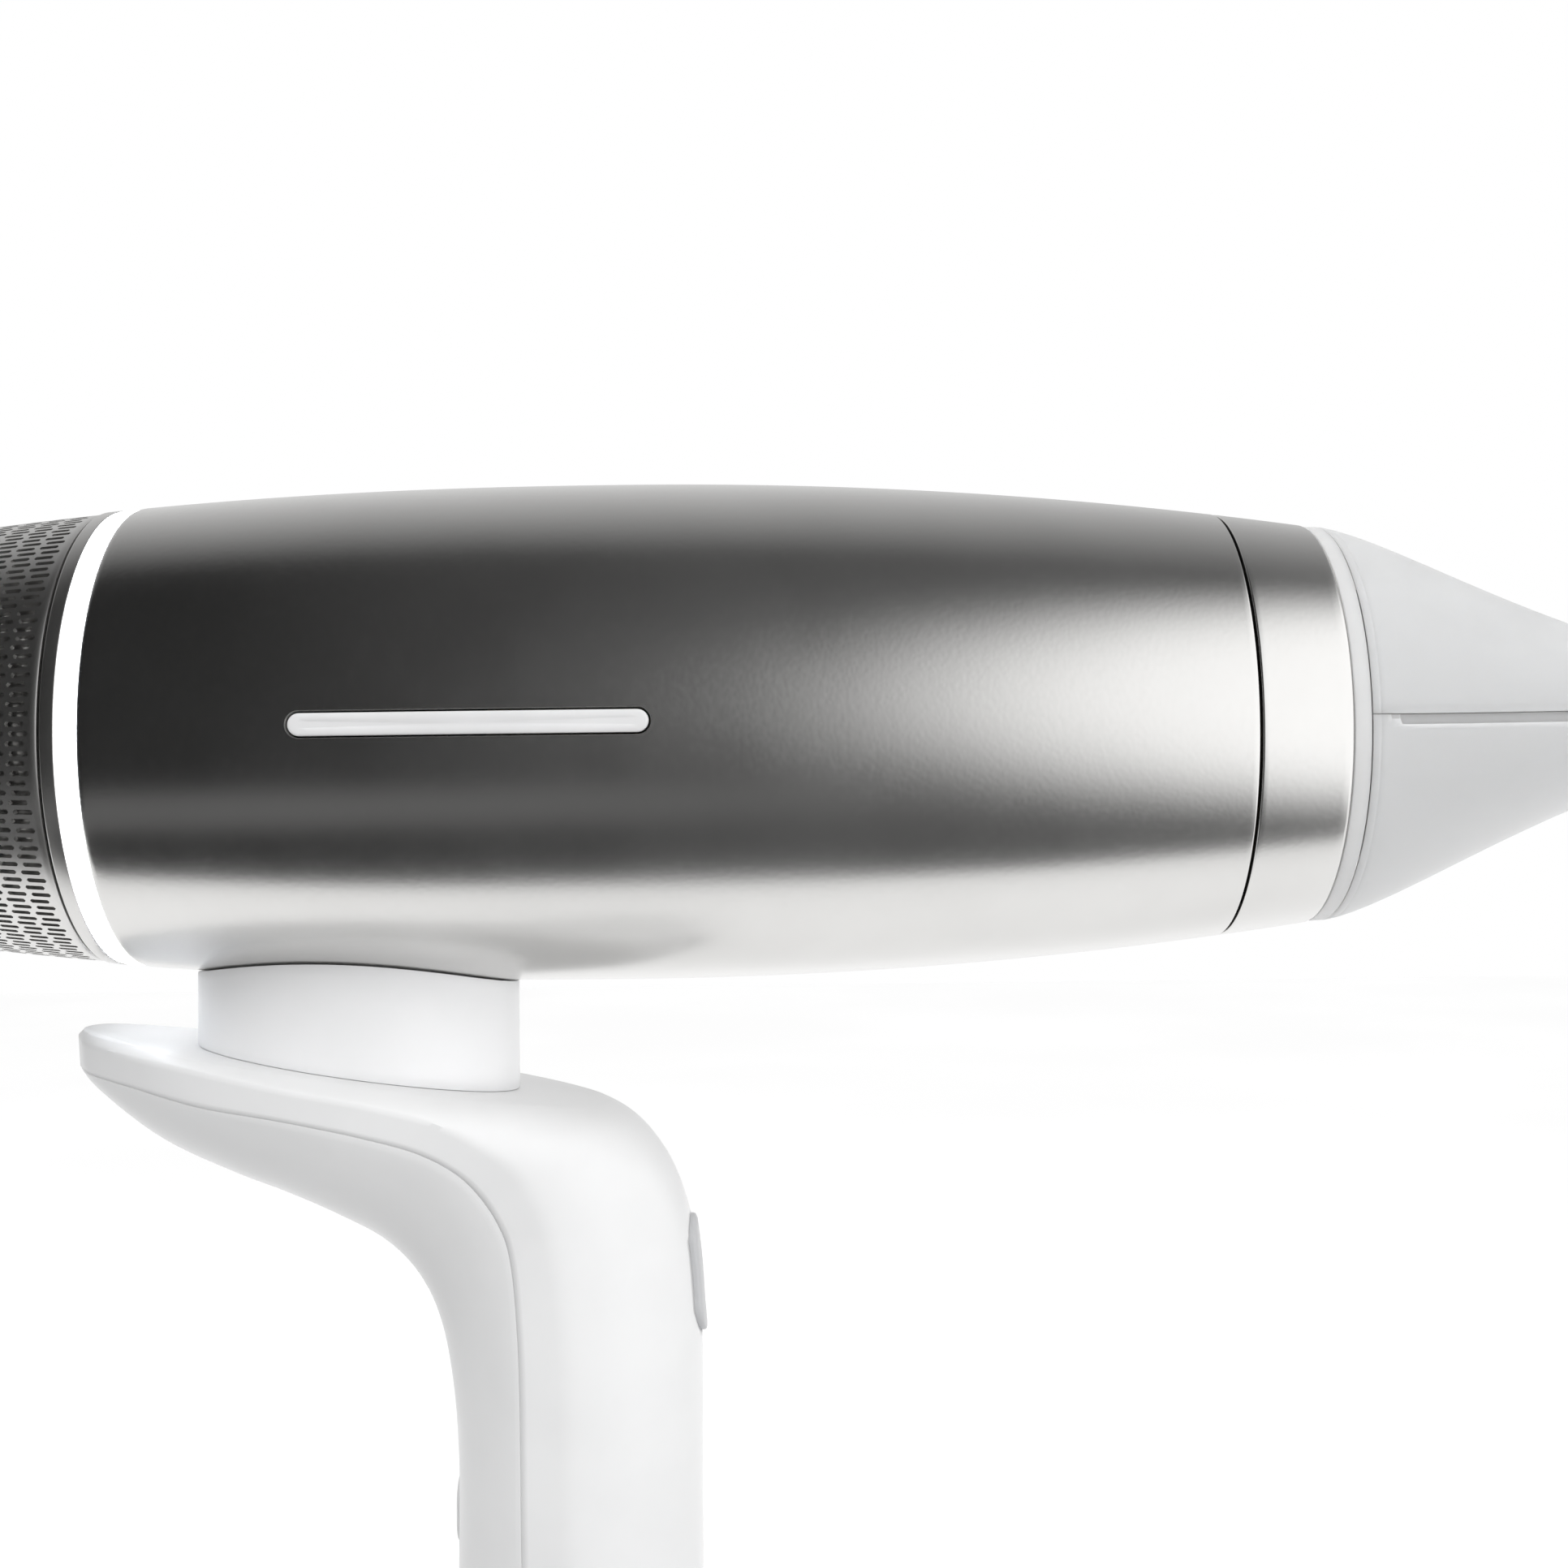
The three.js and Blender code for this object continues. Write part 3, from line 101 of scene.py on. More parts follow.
X, Y, Z = 0, 1, 2
REAR_X = span("barrel_shell", X)[0]
COLLAR_X, FRONT_X = span("front_collar", X)
SHELL_END_X = span("barrel_shell", X)[1]
RING_X0, RING_X1 = span("light_ring", X)
CAP_END_X, CAP_X = span("intake_cap", X)
BAND_X0, BAND_X1 = span("rear_collar", X)
AXIS_Z = middle("light_ring", Z)
OUTLET_R = 25.4
WALL = 1.8
print(f"barrel from {CAP_END_X:.1f} to {FRONT_X:.1f} mm, its axis {AXIS_Z:.1f} mm up")

# %% [markdown]
# The barrel's outline is a parabola ahead of its widest place, and a slightly later curve behind it. A formula
# keeps the surface perfectly smooth, which matters on a metal finish: a reflection shows every flat spot.

# %% The barrel's outline
BARREL_R = 39.0
WIDEST_X = 10.0
FRONT_LENGTH = 105.0
FRONT_DROP = 7.6
REAR_LENGTH = 76.8
REAR_DROP = 2.86
REAR_POWER = 2.3


def shell_radius(x):
    """The barrel's outer radius at x, in millimetres."""
    if x > WIDEST_X:
        return BARREL_R - FRONT_DROP * ((x - WIDEST_X) / FRONT_LENGTH) ** 2
    return BARREL_R - REAR_DROP * ((WIDEST_X - x) / REAR_LENGTH) ** REAR_POWER


def steps(a, b, count):
    """count + 1 even steps from a to b."""
    return [a + (b - a) * i / count for i in range(count + 1)]


print(f"radius {shell_radius(REAR_X):.1f} at the rear, {shell_radius(FRONT_X):.1f} at the front")

# %% [markdown]
# ## Tools for making meshes
#
# Nearly every piece here is a grid: rows of points with faces between neighbouring rows. A turned piece is a
# grid whose rows are circles, and a handle is one whose rows are its cross-sections. So one function that
# turns rows into a mesh does most of the work.

# %% Rows of points into a mesh
def mesh_from(name, verts, faces, smooth_angle=35):
    """A mesh in metres from points in millimetres, smooth but for edges sharper than an angle."""
    mesh = bpy.data.meshes.new(name)
    mesh.from_pydata([Vector(v) * MM for v in verts], [], faces)
    tidy_normals(mesh)
    return shaded(mesh, smooth_angle)


def shaded(mesh, smooth_angle):
    """The mesh made smooth, but for edges sharper than an angle."""
    mesh.polygons.foreach_set("use_smooth", [True] * len(mesh.polygons))
    mesh.set_sharp_from_angle(angle=math.radians(smooth_angle))
    return mesh


def tidy_normals(mesh):
    """Merge doubled points and turn all faces the same way."""
    work = bmesh.new()
    work.from_mesh(mesh)
    bmesh.ops.remove_doubles(work, verts=work.verts, dist=1e-7)
    bmesh.ops.recalc_face_normals(work, faces=work.faces)
    work.to_mesh(mesh)
    work.free()


def grid_faces(rows, columns, close_rows=False, close_columns=False):
    """Faces between the points of a grid, which may join up along either way."""
    faces = []
    for i in range(rows if close_rows else rows - 1):
        for j in range(columns if close_columns else columns - 1):
            a, b = i * columns, (i + 1) % rows * columns
            k = (j + 1) % columns
            faces.append((a + j, a + k, b + k, b + j))
    return faces


def flat(rows):
    """The points of all rows as one list."""
    return [point for row in rows for point in row]


# %% [markdown]
# Moulded and pressed pieces never have knife edges. A sharp corner in an outline becomes a short arc, so that
# each edge catches a thin line of light. Each corner carries its own radius: none at points along a smooth
# curve, a few tenths of a millimetre at a moulded edge, and more at a pressed one.

# %% Outlines with rounded corners, turned about the barrel's axis
ARC_STEPS = 5


def rounded(corners):
    """A closed outline from corners (x, r, radius), with an arc at each corner that has a radius."""
    out = []
    count = len(corners)
    for i, (x, r, radius) in enumerate(corners):
        here = Vector((x, r))
        before = Vector(corners[i - 1][:2]) - here
        after = Vector(corners[(i + 1) % count][:2]) - here
        if radius <= 0:
            out.append((x, r))
            continue
        start = here + before.normalized() * min(radius, before.length * 0.49)
        end = here + after.normalized() * min(radius, after.length * 0.49)
        for t in steps(0, 1, ARC_STEPS):
            point = start * (1 - t) ** 2 + here * 2 * t * (1 - t) + end * t**2
            out.append((point.x, point.y))
    return out


def turns(count):
    """The angles of count even steps round a circle."""
    return [2 * math.pi * i / count for i in range(count)]


def ring_points(x, r, count):
    """A circle of points about the barrel's axis."""
    return [(x, r * math.sin(a), AXIS_Z + r * math.cos(a)) for a in turns(count)]


def turned(name, corners, segments=192, smooth_angle=35):
    """A ring-like piece: a closed outline turned about the barrel's axis."""
    rows = [ring_points(x, r, segments) for x, r in rounded(corners)]
    faces = grid_faces(len(rows), segments, close_rows=True, close_columns=True)
    return mesh_from(name, flat(rows), faces, smooth_angle)


# %% [markdown]
# A piece is finished in one place: it gets its object, its material, the body that it moves with, and the
# material slot that it takes its finish from, and the nodes of the model that it stands for are hidden. Modifiers
# are applied at once, so the mesh is exactly what is seen.

# %% Finishing a piece
MADE = []
SMALLEST = 0.000002


def piece(name, mesh, body, stands_for, material):
    """Put a mesh into the scene as a finished piece, without faces that have shrunk to nothing."""
    work = bmesh.new()
    work.from_mesh(mesh)
    bmesh.ops.dissolve_degenerate(work, edges=work.edges, dist=SMALLEST)
    work.to_mesh(mesh)
    work.free()
    obj = bpy.data.objects.new(name, mesh)
    bpy.context.scene.collection.objects.link(obj)
    obj.data.materials.clear()
    obj.data.materials.append(material)
    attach(obj, body)
    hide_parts(*stands_for)
    MADE.append(obj)
    print(f"{name}: {len(mesh.vertices)} points, {len(mesh.polygons)} faces")
    return obj


def worked(mesh, *modifiers, smooth_angle=35):
    """The mesh after a list of modifiers, each one given as (type, settings)."""
    obj = bpy.data.objects.new("work", mesh)
    bpy.context.scene.collection.objects.link(obj)
    for kind, settings in modifiers:
        modifier = obj.modifiers.new(kind, kind)
        for key, value in settings.items():
            setattr(modifier, key, value)
    bpy.context.view_layer.update()
    done = bpy.data.meshes.new_from_object(obj.evaluated_get(bpy.context.evaluated_depsgraph_get()))
    bpy.data.objects.remove(obj)
    done.name = mesh.name
    return shaded(done, smooth_angle)


def cut(mesh, *cutters, operation="DIFFERENCE", smooth_angle=35):
    """The mesh with each cutter mesh taken away from it."""
    for cutter in cutters:
        tool = bpy.data.objects.new("cutter", cutter)
        bpy.context.scene.collection.objects.link(tool)
        settings = {"object": tool, "operation": operation, "solver": "EXACT"}
        mesh = worked(mesh, ("BOOLEAN", settings), smooth_angle=smooth_angle)
        bpy.data.objects.remove(tool)
    return mesh


def soften(mesh, width, angle=40, segments=2):
    """The mesh with its sharp edges rounded by a small width in millimetres."""
    settings = {
        "width": width * MM,
        "segments": segments,
        "limit_method": "ANGLE",
        "angle_limit": math.radians(angle),
        "harden_normals": False,
        "use_clamp_overlap": True,
    }
    return worked(mesh, ("BEVEL", settings))


def thicken(mesh, thickness):
    """An open skin given a wall on its inner side, which is the side towards the middle plane."""
    agree = sum(face.center.y * face.normal.y * face.area for face in mesh.polygons)
    if agree < 0:
        mesh.flip_normals()
    return worked(mesh, ("SOLIDIFY", {"thickness": thickness * MM, "offset": -1, "use_even_offset": False}))


print("tools are ready")

# %% [markdown]
# ## Node groups: effects that several finishes share
#
# A shader node group is a small machine with named inputs and outputs. Each one below makes one effect, such
# as a moulded grain, and a material places it with its own values. The Principled shader itself stays in the
# material. All patterns are measured in metres on the piece itself, so they keep their size everywhere and
# move with the piece.

# %% Making groups and placing nodes
def new_group(name, inputs, outputs):
    """An empty shader group with named sockets, and its input and output nodes."""
    group = bpy.data.node_groups.new(name, "ShaderNodeTree")
    kinds = {"value": "NodeSocketFloat", "colour": "NodeSocketColor", "vector": "NodeSocketVector"}
    for label, kind, value in inputs:
        socket = group.interface.new_socket(name=label, in_out="INPUT", socket_type=kinds[kind])
        socket.default_value = value
    for label, kind in outputs:
        group.interface.new_socket(name=label, in_out="OUTPUT", socket_type=kinds[kind])
    return group, group.nodes.new("NodeGroupInput"), group.nodes.new("NodeGroupOutput")


def feed(tree, node, **inputs):
    """Give inputs values or other sockets. i0, i1 and so on mean an input by its number."""
    for key, value in inputs.items():
        numbered = key[0] == "i" and key[1:].isdigit()
        socket = node.inputs[int(key[1:]) if numbered else key.replace("_", " ")]
        if isinstance(value, bpy.types.NodeSocket):
            tree.links.new(value, socket)
        else:
            socket.default_value = value
    return node


def place(tree, kind, settings=None, **inputs):
    """Add a node, set its properties, and feed its inputs."""
    node = tree.nodes.new(kind)
    for key, value in (settings or {}).items():
        setattr(node, key, value)
    return feed(tree, node, **inputs)


def math_node(tree, operation, a, b=0.0, c=0.0, clamp=False):
    """The result of one Math node."""
    return place(tree, "ShaderNodeMath", {"operation": operation, "use_clamp": clamp}, i0=a, i1=b, i2=c).outputs[0]


def mapped(tree, value, low, high, to_low=0.0, to_high=1.0, smooth=True):
    """A value taken from one range to another, with soft ends."""
    settings = {"interpolation_type": "SMOOTHSTEP" if smooth else "LINEAR"}
    return place(tree, "ShaderNodeMapRange", settings, i0=value, i1=low, i2=high, i3=to_low, i4=to_high).outputs[0]


def here(tree, scale):
    """Coordinates on the piece itself, multiplied by a scale per metre."""
    coordinates = place(tree, "ShaderNodeTexCoord").outputs["Object"]
    return place(tree, "ShaderNodeVectorMath", {"operation": "SCALE"}, i0=coordinates, Scale=scale).outputs[0]


def cloudy(tree, scale, detail):
    """Noise on the piece itself, at a scale per metre."""
    return place(tree, "ShaderNodeTexNoise", Vector=here(tree, scale), Scale=1.0, Detail=detail).outputs["Fac"]


def blended(tree, share, colour_a, colour_b):
    """Colour A where the share is 0, and colour B where it is 1."""
    return place(tree, "ShaderNodeMix", {"data_type": "RGBA"}, i0=share, i6=colour_a, i7=colour_b).outputs[2]


# %% [markdown]
# **Leather grain.** The barrel's metal coat has a fine pebbled grain, as if it were pressed against leather.
# Cells of a Voronoi texture give the pebbles, and a little noise bends them so that they don't look printed.

# %% Leather grain
def build_leather_grain():
    group, into, out = new_group(
        "leather grain",
        [("Scale", "value", 1500.0), ("Bend", "value", 0.6)],
        [("Height", "value"), ("Valleys", "value")],
    )
    spot = here(group, into.outputs["Scale"])
    noise = place(group, "ShaderNodeTexNoise", Vector=spot, Scale=0.5, Detail=3.0)
    push = {"i0": noise.outputs["Color"], "Scale": into.outputs["Bend"]}
    bend = place(group, "ShaderNodeVectorMath", {"operation": "SCALE"}, **push).outputs[0]
    bent = place(group, "ShaderNodeVectorMath", {"operation": "ADD"}, i0=spot, i1=bend).outputs[0]
    cells = place(group, "ShaderNodeTexVoronoi", {"feature": "SMOOTH_F1"}, Vector=bent, Scale=1.0, Smoothness=1.0)
    ripple = place(group, "ShaderNodeTexNoise", Vector=spot, Scale=0.7, Detail=1.0)
    pebble = math_node(group, "MULTIPLY_ADD", cells.outputs["Distance"], -0.5, 0.5)
    height = math_node(group, "MULTIPLY_ADD", ripple.outputs["Fac"], 0.5, pebble)
    feed(group, out, Height=height, Valleys=mapped(group, height, 0.6, 0.35))
    return group


LEATHER_GRAIN = build_leather_grain()
print("group:", LEATHER_GRAIN.name)

# %% [markdown]
# **Moulded grain.** Plastic copies the steel mould that it was pressed in, and the mould is never a mirror:
# it has a very fine spark-eroded texture, and slow waves where the plastic cooled unevenly.

# %% Moulded grain
def build_moulded_grain():
    group, into, out = new_group(
        "moulded grain",
        [("Grain Scale", "value", 4000.0), ("Wave Scale", "value", 60.0), ("Wave Share", "value", 0.3)],
        [("Height", "value"), ("Variation", "value")],
    )
    fine = cloudy(group, into.outputs["Grain Scale"], 4.0)
    slow = cloudy(group, into.outputs["Wave Scale"], 2.0)
    share = into.outputs["Wave Share"]
    rest = math_node(group, "SUBTRACT", 1.0, share)
    waves = math_node(group, "MULTIPLY", slow, share)
    grains = math_node(group, "MULTIPLY", fine, rest)
    feed(group, out, Height=math_node(group, "ADD", waves, grains), Variation=slow)
    return group


MOULDED_GRAIN = build_moulded_grain()
print("group:", MOULDED_GRAIN.name)

# %% [markdown]
# **Two-tone.** No finish is one flat colour. This group mixes two close tones by a cloudy noise. The same
# noise leaves by a second socket, so that the roughness can wander with the colour.

# %% Two-tone
def build_two_tone():
    group, into, out = new_group(
        "two tone",
        [
            ("Tone A", "colour", (0.5, 0.5, 0.5, 1)),
            ("Tone B", "colour", (0.6, 0.6, 0.6, 1)),
            ("Scale", "value", 90.0),
            ("Rough Low", "value", 0.3),
            ("Rough High", "value", 0.4),
        ],
        [("Color", "colour"), ("Roughness", "value")],
    )
    share = mapped(group, cloudy(group, into.outputs["Scale"], 5.0), 0.35, 0.65)
    rough = mapped(group, share, 0.0, 1.0, into.outputs["Rough Low"], into.outputs["Rough High"], smooth=False)
    feed(group, out, Color=blended(group, share, into.outputs["Tone A"], into.outputs["Tone B"]), Roughness=rough)
    return group


TWO_TONE = build_two_tone()
print("group:", TWO_TONE.name)

# %% [markdown]
# **Edge wear.** Edges are touched most, so a coat thins there first. The Geometry node's Pointiness tells how
# sharply a surface bends, and noise breaks the line up so that the wear looks like use.

# %% Edge wear
def build_edge_wear():
    group, into, out = new_group(
        "edge wear",
        [("Amount", "value", 0.5), ("Scale", "value", 500.0)],
        [("Mask", "value")],
    )
    bend = place(group, "ShaderNodeNewGeometry").outputs["Pointiness"]
    ridge = mapped(group, bend, 0.52, 0.62)
    patches = mapped(group, cloudy(group, into.outputs["Scale"], 6.0), 0.35, 0.6)
    broken = math_node(group, "MULTIPLY", ridge, patches)
    feed(group, out, Mask=math_node(group, "MULTIPLY", broken, into.outputs["Amount"], clamp=True))
    return group


EDGE_WEAR = build_edge_wear()
print("group:", EDGE_WEAR.name)

# %% [markdown]
# **Brushed lines.** Machined and drawn metal keeps fine lines. Noise stretched a hundred times along one axis
# makes them. The stretch is an input, so a shaft has lines round it and a strip has lines along it.

# %% Brushed lines
def build_brushed_lines():
    group, into, out = new_group(
        "brushed lines",
        [("Stretch", "vector", (9000.0, 90.0, 90.0))],
        [("Height", "value"), ("Roughness", "value")],
    )
    coordinates = place(group, "ShaderNodeTexCoord").outputs["Object"]
    spot = place(group, "ShaderNodeVectorMath", {"operation": "MULTIPLY"}, i0=coordinates, i1=into.outputs["Stretch"])
    lines = place(group, "ShaderNodeTexNoise", Vector=spot.outputs[0], Scale=1.0, Detail=3.0).outputs["Fac"]
    feed(group, out, Height=lines, Roughness=mapped(group, lines, 0.3, 0.7, 0.22, 0.42))
    return group


BRUSHED_LINES = build_brushed_lines()
print("group:", BRUSHED_LINES.name)

# %% [markdown]
# ## Materials
#
# A material here is a Principled shader fed by the groups. A small helper makes the empty material, and
# another turns a height into a normal.

# %% Material helpers
def new_material(name, **sockets):
    """A material with a Principled shader, and constant values set on the shader's own sockets."""
    material = bpy.data.materials.new(name)
    material.use_nodes = True
    tree = material.node_tree
    return material, tree, feed(tree, tree.nodes["Principled BSDF"], **sockets)


def use_group(tree, group, **inputs):
    """Place a node group and feed its inputs."""
    return place(tree, "ShaderNodeGroup", {"node_tree": group}, **inputs)


def bump(tree, shader, height, distance):
    """Feed a height, in metres at its full range, to the shader's normal."""
    node = place(tree, "ShaderNodeBump", Height=height, Distance=distance)
    feed(tree, shader, Normal=node.outputs["Normal"])


def tones(tree, shader, tone_a, tone_b, scale, rough):
    """Two close tones and a wandering roughness into the shader, and the group's node back."""
    rough_range = {"Rough_Low": rough[0], "Rough_High": rough[1]}
    node = use_group(tree, TWO_TONE, Tone_A=(*tone_a, 1), Tone_B=(*tone_b, 1), Scale=scale, **rough_range)
    feed(tree, shader, Base_Color=node.outputs["Color"], Roughness=node.outputs["Roughness"])
    return node


# %% [markdown]
# ### The satin metal coat
#
# The barrel, both bands and the intake cap have a champagne-grey metal coat over a pressed grain. It reflects
# the room in broad soft shapes, so it is fully metallic with a medium roughness. The grain's valleys hold a
# little less shine.

# %% Satin metal
VALLEY_DULLNESS = 0.015


def satin_metal(name, grain, rough):
    material, tree, shader = new_material(name, Metallic=1.0)
    body = tones(tree, shader, (0.615, 0.61, 0.60), (0.64, 0.635, 0.625), 45.0, rough)
    leather = use_group(tree, LEATHER_GRAIN, Scale=1450.0)
    dull = math_node(tree, "MULTIPLY_ADD", leather.outputs["Valleys"], VALLEY_DULLNESS, body.outputs["Roughness"])
    feed(tree, shader, Roughness=dull)
    bump(tree, shader, leather.outputs["Height"], grain)
    return material


SATIN_METAL = satin_metal("satin metal, grained", 0.0000065, (0.235, 0.25))
SMOOTH_METAL = satin_metal("satin metal, smooth", 0.000002, (0.32, 0.35))
print("materials:", SATIN_METAL.name, "and", SMOOTH_METAL.name)

# %% [markdown]
# ### White and light grey plastic
#
# The handle and the neck are a cool white with a soft gloss, and the nozzle is a warmer light grey that is
# more matt. The neck's white is a lighter copy of the handle's, painted lighter to make up for the shade that the
# barrel casts on the neck. Both are dense plastics: a touch of subsurface scattering keeps their shadows from
# looking like plaster, and a thin coat gives the handle its gloss.

# %% Plastics
def plastic(name, tone_a, tone_b, rough, coat=0.0, grain=0.000004, scatter=0.06, depth=0.0012, wear=0.0):
    material, tree, shader = new_material(name, Coat_Weight=coat, Coat_Roughness=0.18, Specular_IOR_Level=0.32)
    feed(tree, shader, Subsurface_Weight=scatter, Subsurface_Radius=(0.9, 0.85, 0.8), Subsurface_Scale=depth)
    body = tones(tree, shader, tone_a, tone_b, 70.0, rough)
    mould = use_group(tree, MOULDED_GRAIN)
    bump(tree, shader, mould.outputs["Height"], grain)
    if wear > 0:
        rubbed = use_group(tree, EDGE_WEAR, Amount=wear).outputs["Mask"]
        paler = (*[min(1.0, c * 1.5 + 0.05) for c in tone_b], 1)
        feed(tree, shader, Base_Color=blended(tree, rubbed, body.outputs["Color"], paler))
    return material


GLOSSY, MATT = (0.30, 0.37), (0.36, 0.44)
WHITE_PLASTIC = plastic("white handle plastic", (0.80, 0.802, 0.805), (0.82, 0.822, 0.825), GLOSSY, coat=0.12)
# painted light: the neck's white is lighter than the handle's to make up for the shade that the barrel casts on it
NECK_PLASTIC_PAINTED_LIGHTER = plastic("white neck plastic, painted lighter", (0.925, 0.928, 0.935), (0.94, 0.942, 0.95), GLOSSY, coat=0.12)
NOZZLE_PLASTIC = plastic(
    "light grey nozzle plastic", (0.68, 0.67, 0.66), (0.70, 0.69, 0.68), MATT, scatter=0.7, depth=0.01
)
KEY_PLASTIC = plastic("grey key plastic", (0.50, 0.505, 0.515), (0.54, 0.545, 0.555), (0.34, 0.42), scatter=0.02)
DRY, RUBBERY = (0.45, 0.6), (0.75, 0.9)
DARK_PLASTIC = plastic(
    "dark moulded plastic", (0.018, 0.018, 0.022), (0.03, 0.03, 0.035), DRY, grain=0.00001, scatter=0.0, wear=0.5
)
FAN_PLASTIC = plastic(
    "natural nylon", (0.72, 0.71, 0.67), (0.78, 0.77, 0.74), (0.35, 0.45), grain=0.000006, scatter=0.12
)
print("plastics are ready")

# %% [markdown]
# ### The light ring and the indicator
#
# The ring behind the barrel is a milky light guide with a row of lamps behind it. It glows nearly evenly: a
# wave round the ring, with one crest for each lamp, makes the light a little stronger in front of each one.
# The indicator in the barrel's side is the same milky plastic, and it is switched off.

# %% Light guides
LAMPS = 24


def glowing_guide():
    material, tree, shader = new_material("milky guide, lit", Roughness=0.35, Emission_Strength=7.0)
    tones(tree, shader, (0.93, 0.94, 0.96), (0.97, 0.98, 1.0), 120.0, (0.28, 0.36))
    spot = place(tree, "ShaderNodeSeparateXYZ", Vector=place(tree, "ShaderNodeTexCoord").outputs["Object"])
    up = math_node(tree, "SUBTRACT", spot.outputs["Z"], AXIS_Z * MM)
    turn = math_node(tree, "ARCTAN2", spot.outputs["Y"], up)
    crest = math_node(tree, "COSINE", math_node(tree, "MULTIPLY", turn, float(LAMPS)))
    level = mapped(tree, crest, -1.0, 1.0, 0.86, 1.0)
    reds, greens = math_node(tree, "MULTIPLY", level, 0.9), math_node(tree, "MULTIPLY", level, 0.94)
    colour = place(tree, "ShaderNodeCombineColor", Red=reds, Green=greens, Blue=level)
    feed(tree, shader, Emission_Color=colour.outputs[0])
    return material


LIT_GUIDE = glowing_guide()
DARK_GUIDE = plastic(
    "milky guide, unlit", (0.70, 0.70, 0.705), (0.73, 0.73, 0.735), (0.28, 0.34), coat=0.3, scatter=0.3
)
print("materials:", LIT_GUIDE.name, "and", DARK_GUIDE.name)

# %% [markdown]
# ### What is inside
#
# The fan, motor, heater and wiring show through the slots and the nozzle's mouth, and when the cap or the
# nozzle is pulled off. Steel and copper get brushed lines, mica gets a flaky sheen, rubber is nearly black
# and dry, and the circuit boards are green with a pattern of tracks.

# %% Metals, mica, rubber and boards
def drawn_metal(name, tone_a, tone_b, stretch):
    material, tree, shader = new_material(name, Metallic=1.0)
    tones(tree, shader, tone_a, tone_b, 300.0, (0.25, 0.35))
    lines = use_group(tree, BRUSHED_LINES, Stretch=stretch)
    feed(tree, shader, Roughness=lines.outputs["Roughness"])
    bump(tree, shader, lines.outputs["Height"], 0.000006)
    return material


def mica_sheet():
    material, tree, shader = new_material("mica sheet", Coat_Weight=0.2)
    tones(tree, shader, (0.42, 0.33, 0.19), (0.60, 0.51, 0.34), 220.0, (0.35, 0.6))
    flakes = place(tree, "ShaderNodeTexVoronoi", Vector=here(tree, 380.0), Scale=1.0)
    bump(tree, shader, flakes.outputs["Distance"], 0.00002)
    return material


def circuit_board():
    material, tree, shader = new_material("circuit board", Coat_Weight=0.4)
    tracks = place(tree, "ShaderNodeTexBrick", Vector=here(tree, 900.0), Scale=1.0)
    feed(tree, tracks, Mortar_Size=0.12, Brick_Width=1.2, Row_Height=0.4)
    feed(tree, tracks, Color1=(0.012, 0.10, 0.045, 1), Color2=(0.016, 0.12, 0.055, 1), Mortar=(0.05, 0.22, 0.09, 1))
    feed(tree, shader, Base_Color=tracks.outputs["Color"])
    bump(tree, shader, tracks.outputs["Fac"], 0.00003)
    return material


STEEL = drawn_metal("turned steel", (0.55, 0.56, 0.58), (0.66, 0.67, 0.69), (9000.0, 90.0, 90.0))
COPPER = drawn_metal("copper winding", (0.72, 0.32, 0.14), (0.80, 0.42, 0.20), (5200.0, 60.0, 60.0))
NICHROME = drawn_metal("heating wire", (0.36, 0.34, 0.33), (0.46, 0.42, 0.40), (4000.0, 400.0, 400.0))
MICA = mica_sheet()
RUBBER = plastic(
    "dry black rubber", (0.012, 0.012, 0.013), (0.022, 0.022, 0.023), RUBBERY, grain=0.00002, scatter=0.0, wear=0.3
)
BOARD = circuit_board()
print("inner materials are ready")

# %% [markdown]
# Every node of the model that stays visible gets one of these finishes. The list goes from a material to the
# nodes that wear it, which reads like a painter's plan.

# %% Finishes for the pieces that stay as the model has them
WEARERS = {
    DARK_PLASTIC: "fan_duct inlet_guard motor_can ion_source outlet_grille heat_switch speed_switch cool_switch",
    FAN_PLASTIC: "impeller",
    STEEL: "motor_shaft rotor_magnet bearing_rear bearing_front stator_core thermostat thermal_fuse "
    "nozzle_steel_ring collar_magnet_1 collar_magnet_2 collar_magnet_3 collar_magnet_4",
    COPPER: "winding_rear winding_front",
    NICHROME: "heater_coil_rear heater_coil_front",
    MICA: "heater_sleeve mica_plate_upright mica_plate_flat",
    RUBBER: "duct_damper_rear duct_damper_front wiring_loom",
    BOARD: "light_ring_board indicator_board control_board",
}
for material, names in WEARERS.items():
    for name in names.split():
        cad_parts[name].material_slots[0].material = material
print(sum(len(names.split()) for names in WEARERS.values()), "nodes keep their shape")

# %% [markdown]
# ## The barrel
#
# The barrel is one pressed skin. Its outline is turned about the axis, with a generous arc at the rear edge,
# where the metal was rolled in, and a tight one at the front seam. A pill-shaped slot for the indicator and an
# oval hole for the neck are then cut through it.

# %% The indicator's outline on the barrel's side
BAR_LENGTH = 50.4
BAR_HEIGHT = 3.0
BAR_X = middle("indicator_bar", X)
BAR_GAP = 0.36
BAR_CHAMFER = 0.14


def pill_outline(half_length, half_height, arc=16, along=40):
    """Points of a pill: straight sides along the first axis and half circles at its ends."""
    straight = half_length - half_height
    points = []
    for side in (1, -1):
        for a in steps(math.pi / 2, -math.pi / 2, arc):
            points.append((side * (straight + half_height * math.cos(a)), side * half_height * math.sin(a)))
        line = [side * (straight - 2 * straight * i / along) for i in range(1, along)]
        points += [(u, -side * half_height) for u in line]
    return points


def bar_ring(grow, lift):
    """The indicator's outline, larger by grow, laid on the barrel's left side and lifted off it."""
    ring = []
    for u, v in pill_outline(BAR_LENGTH / 2 + grow, BAR_HEIGHT / 2 + grow):
        radius = shell_radius(BAR_X + u) + lift
        ring.append((BAR_X + u, -math.sqrt(radius**2 - v**2), AXIS_Z + v))
    return ring


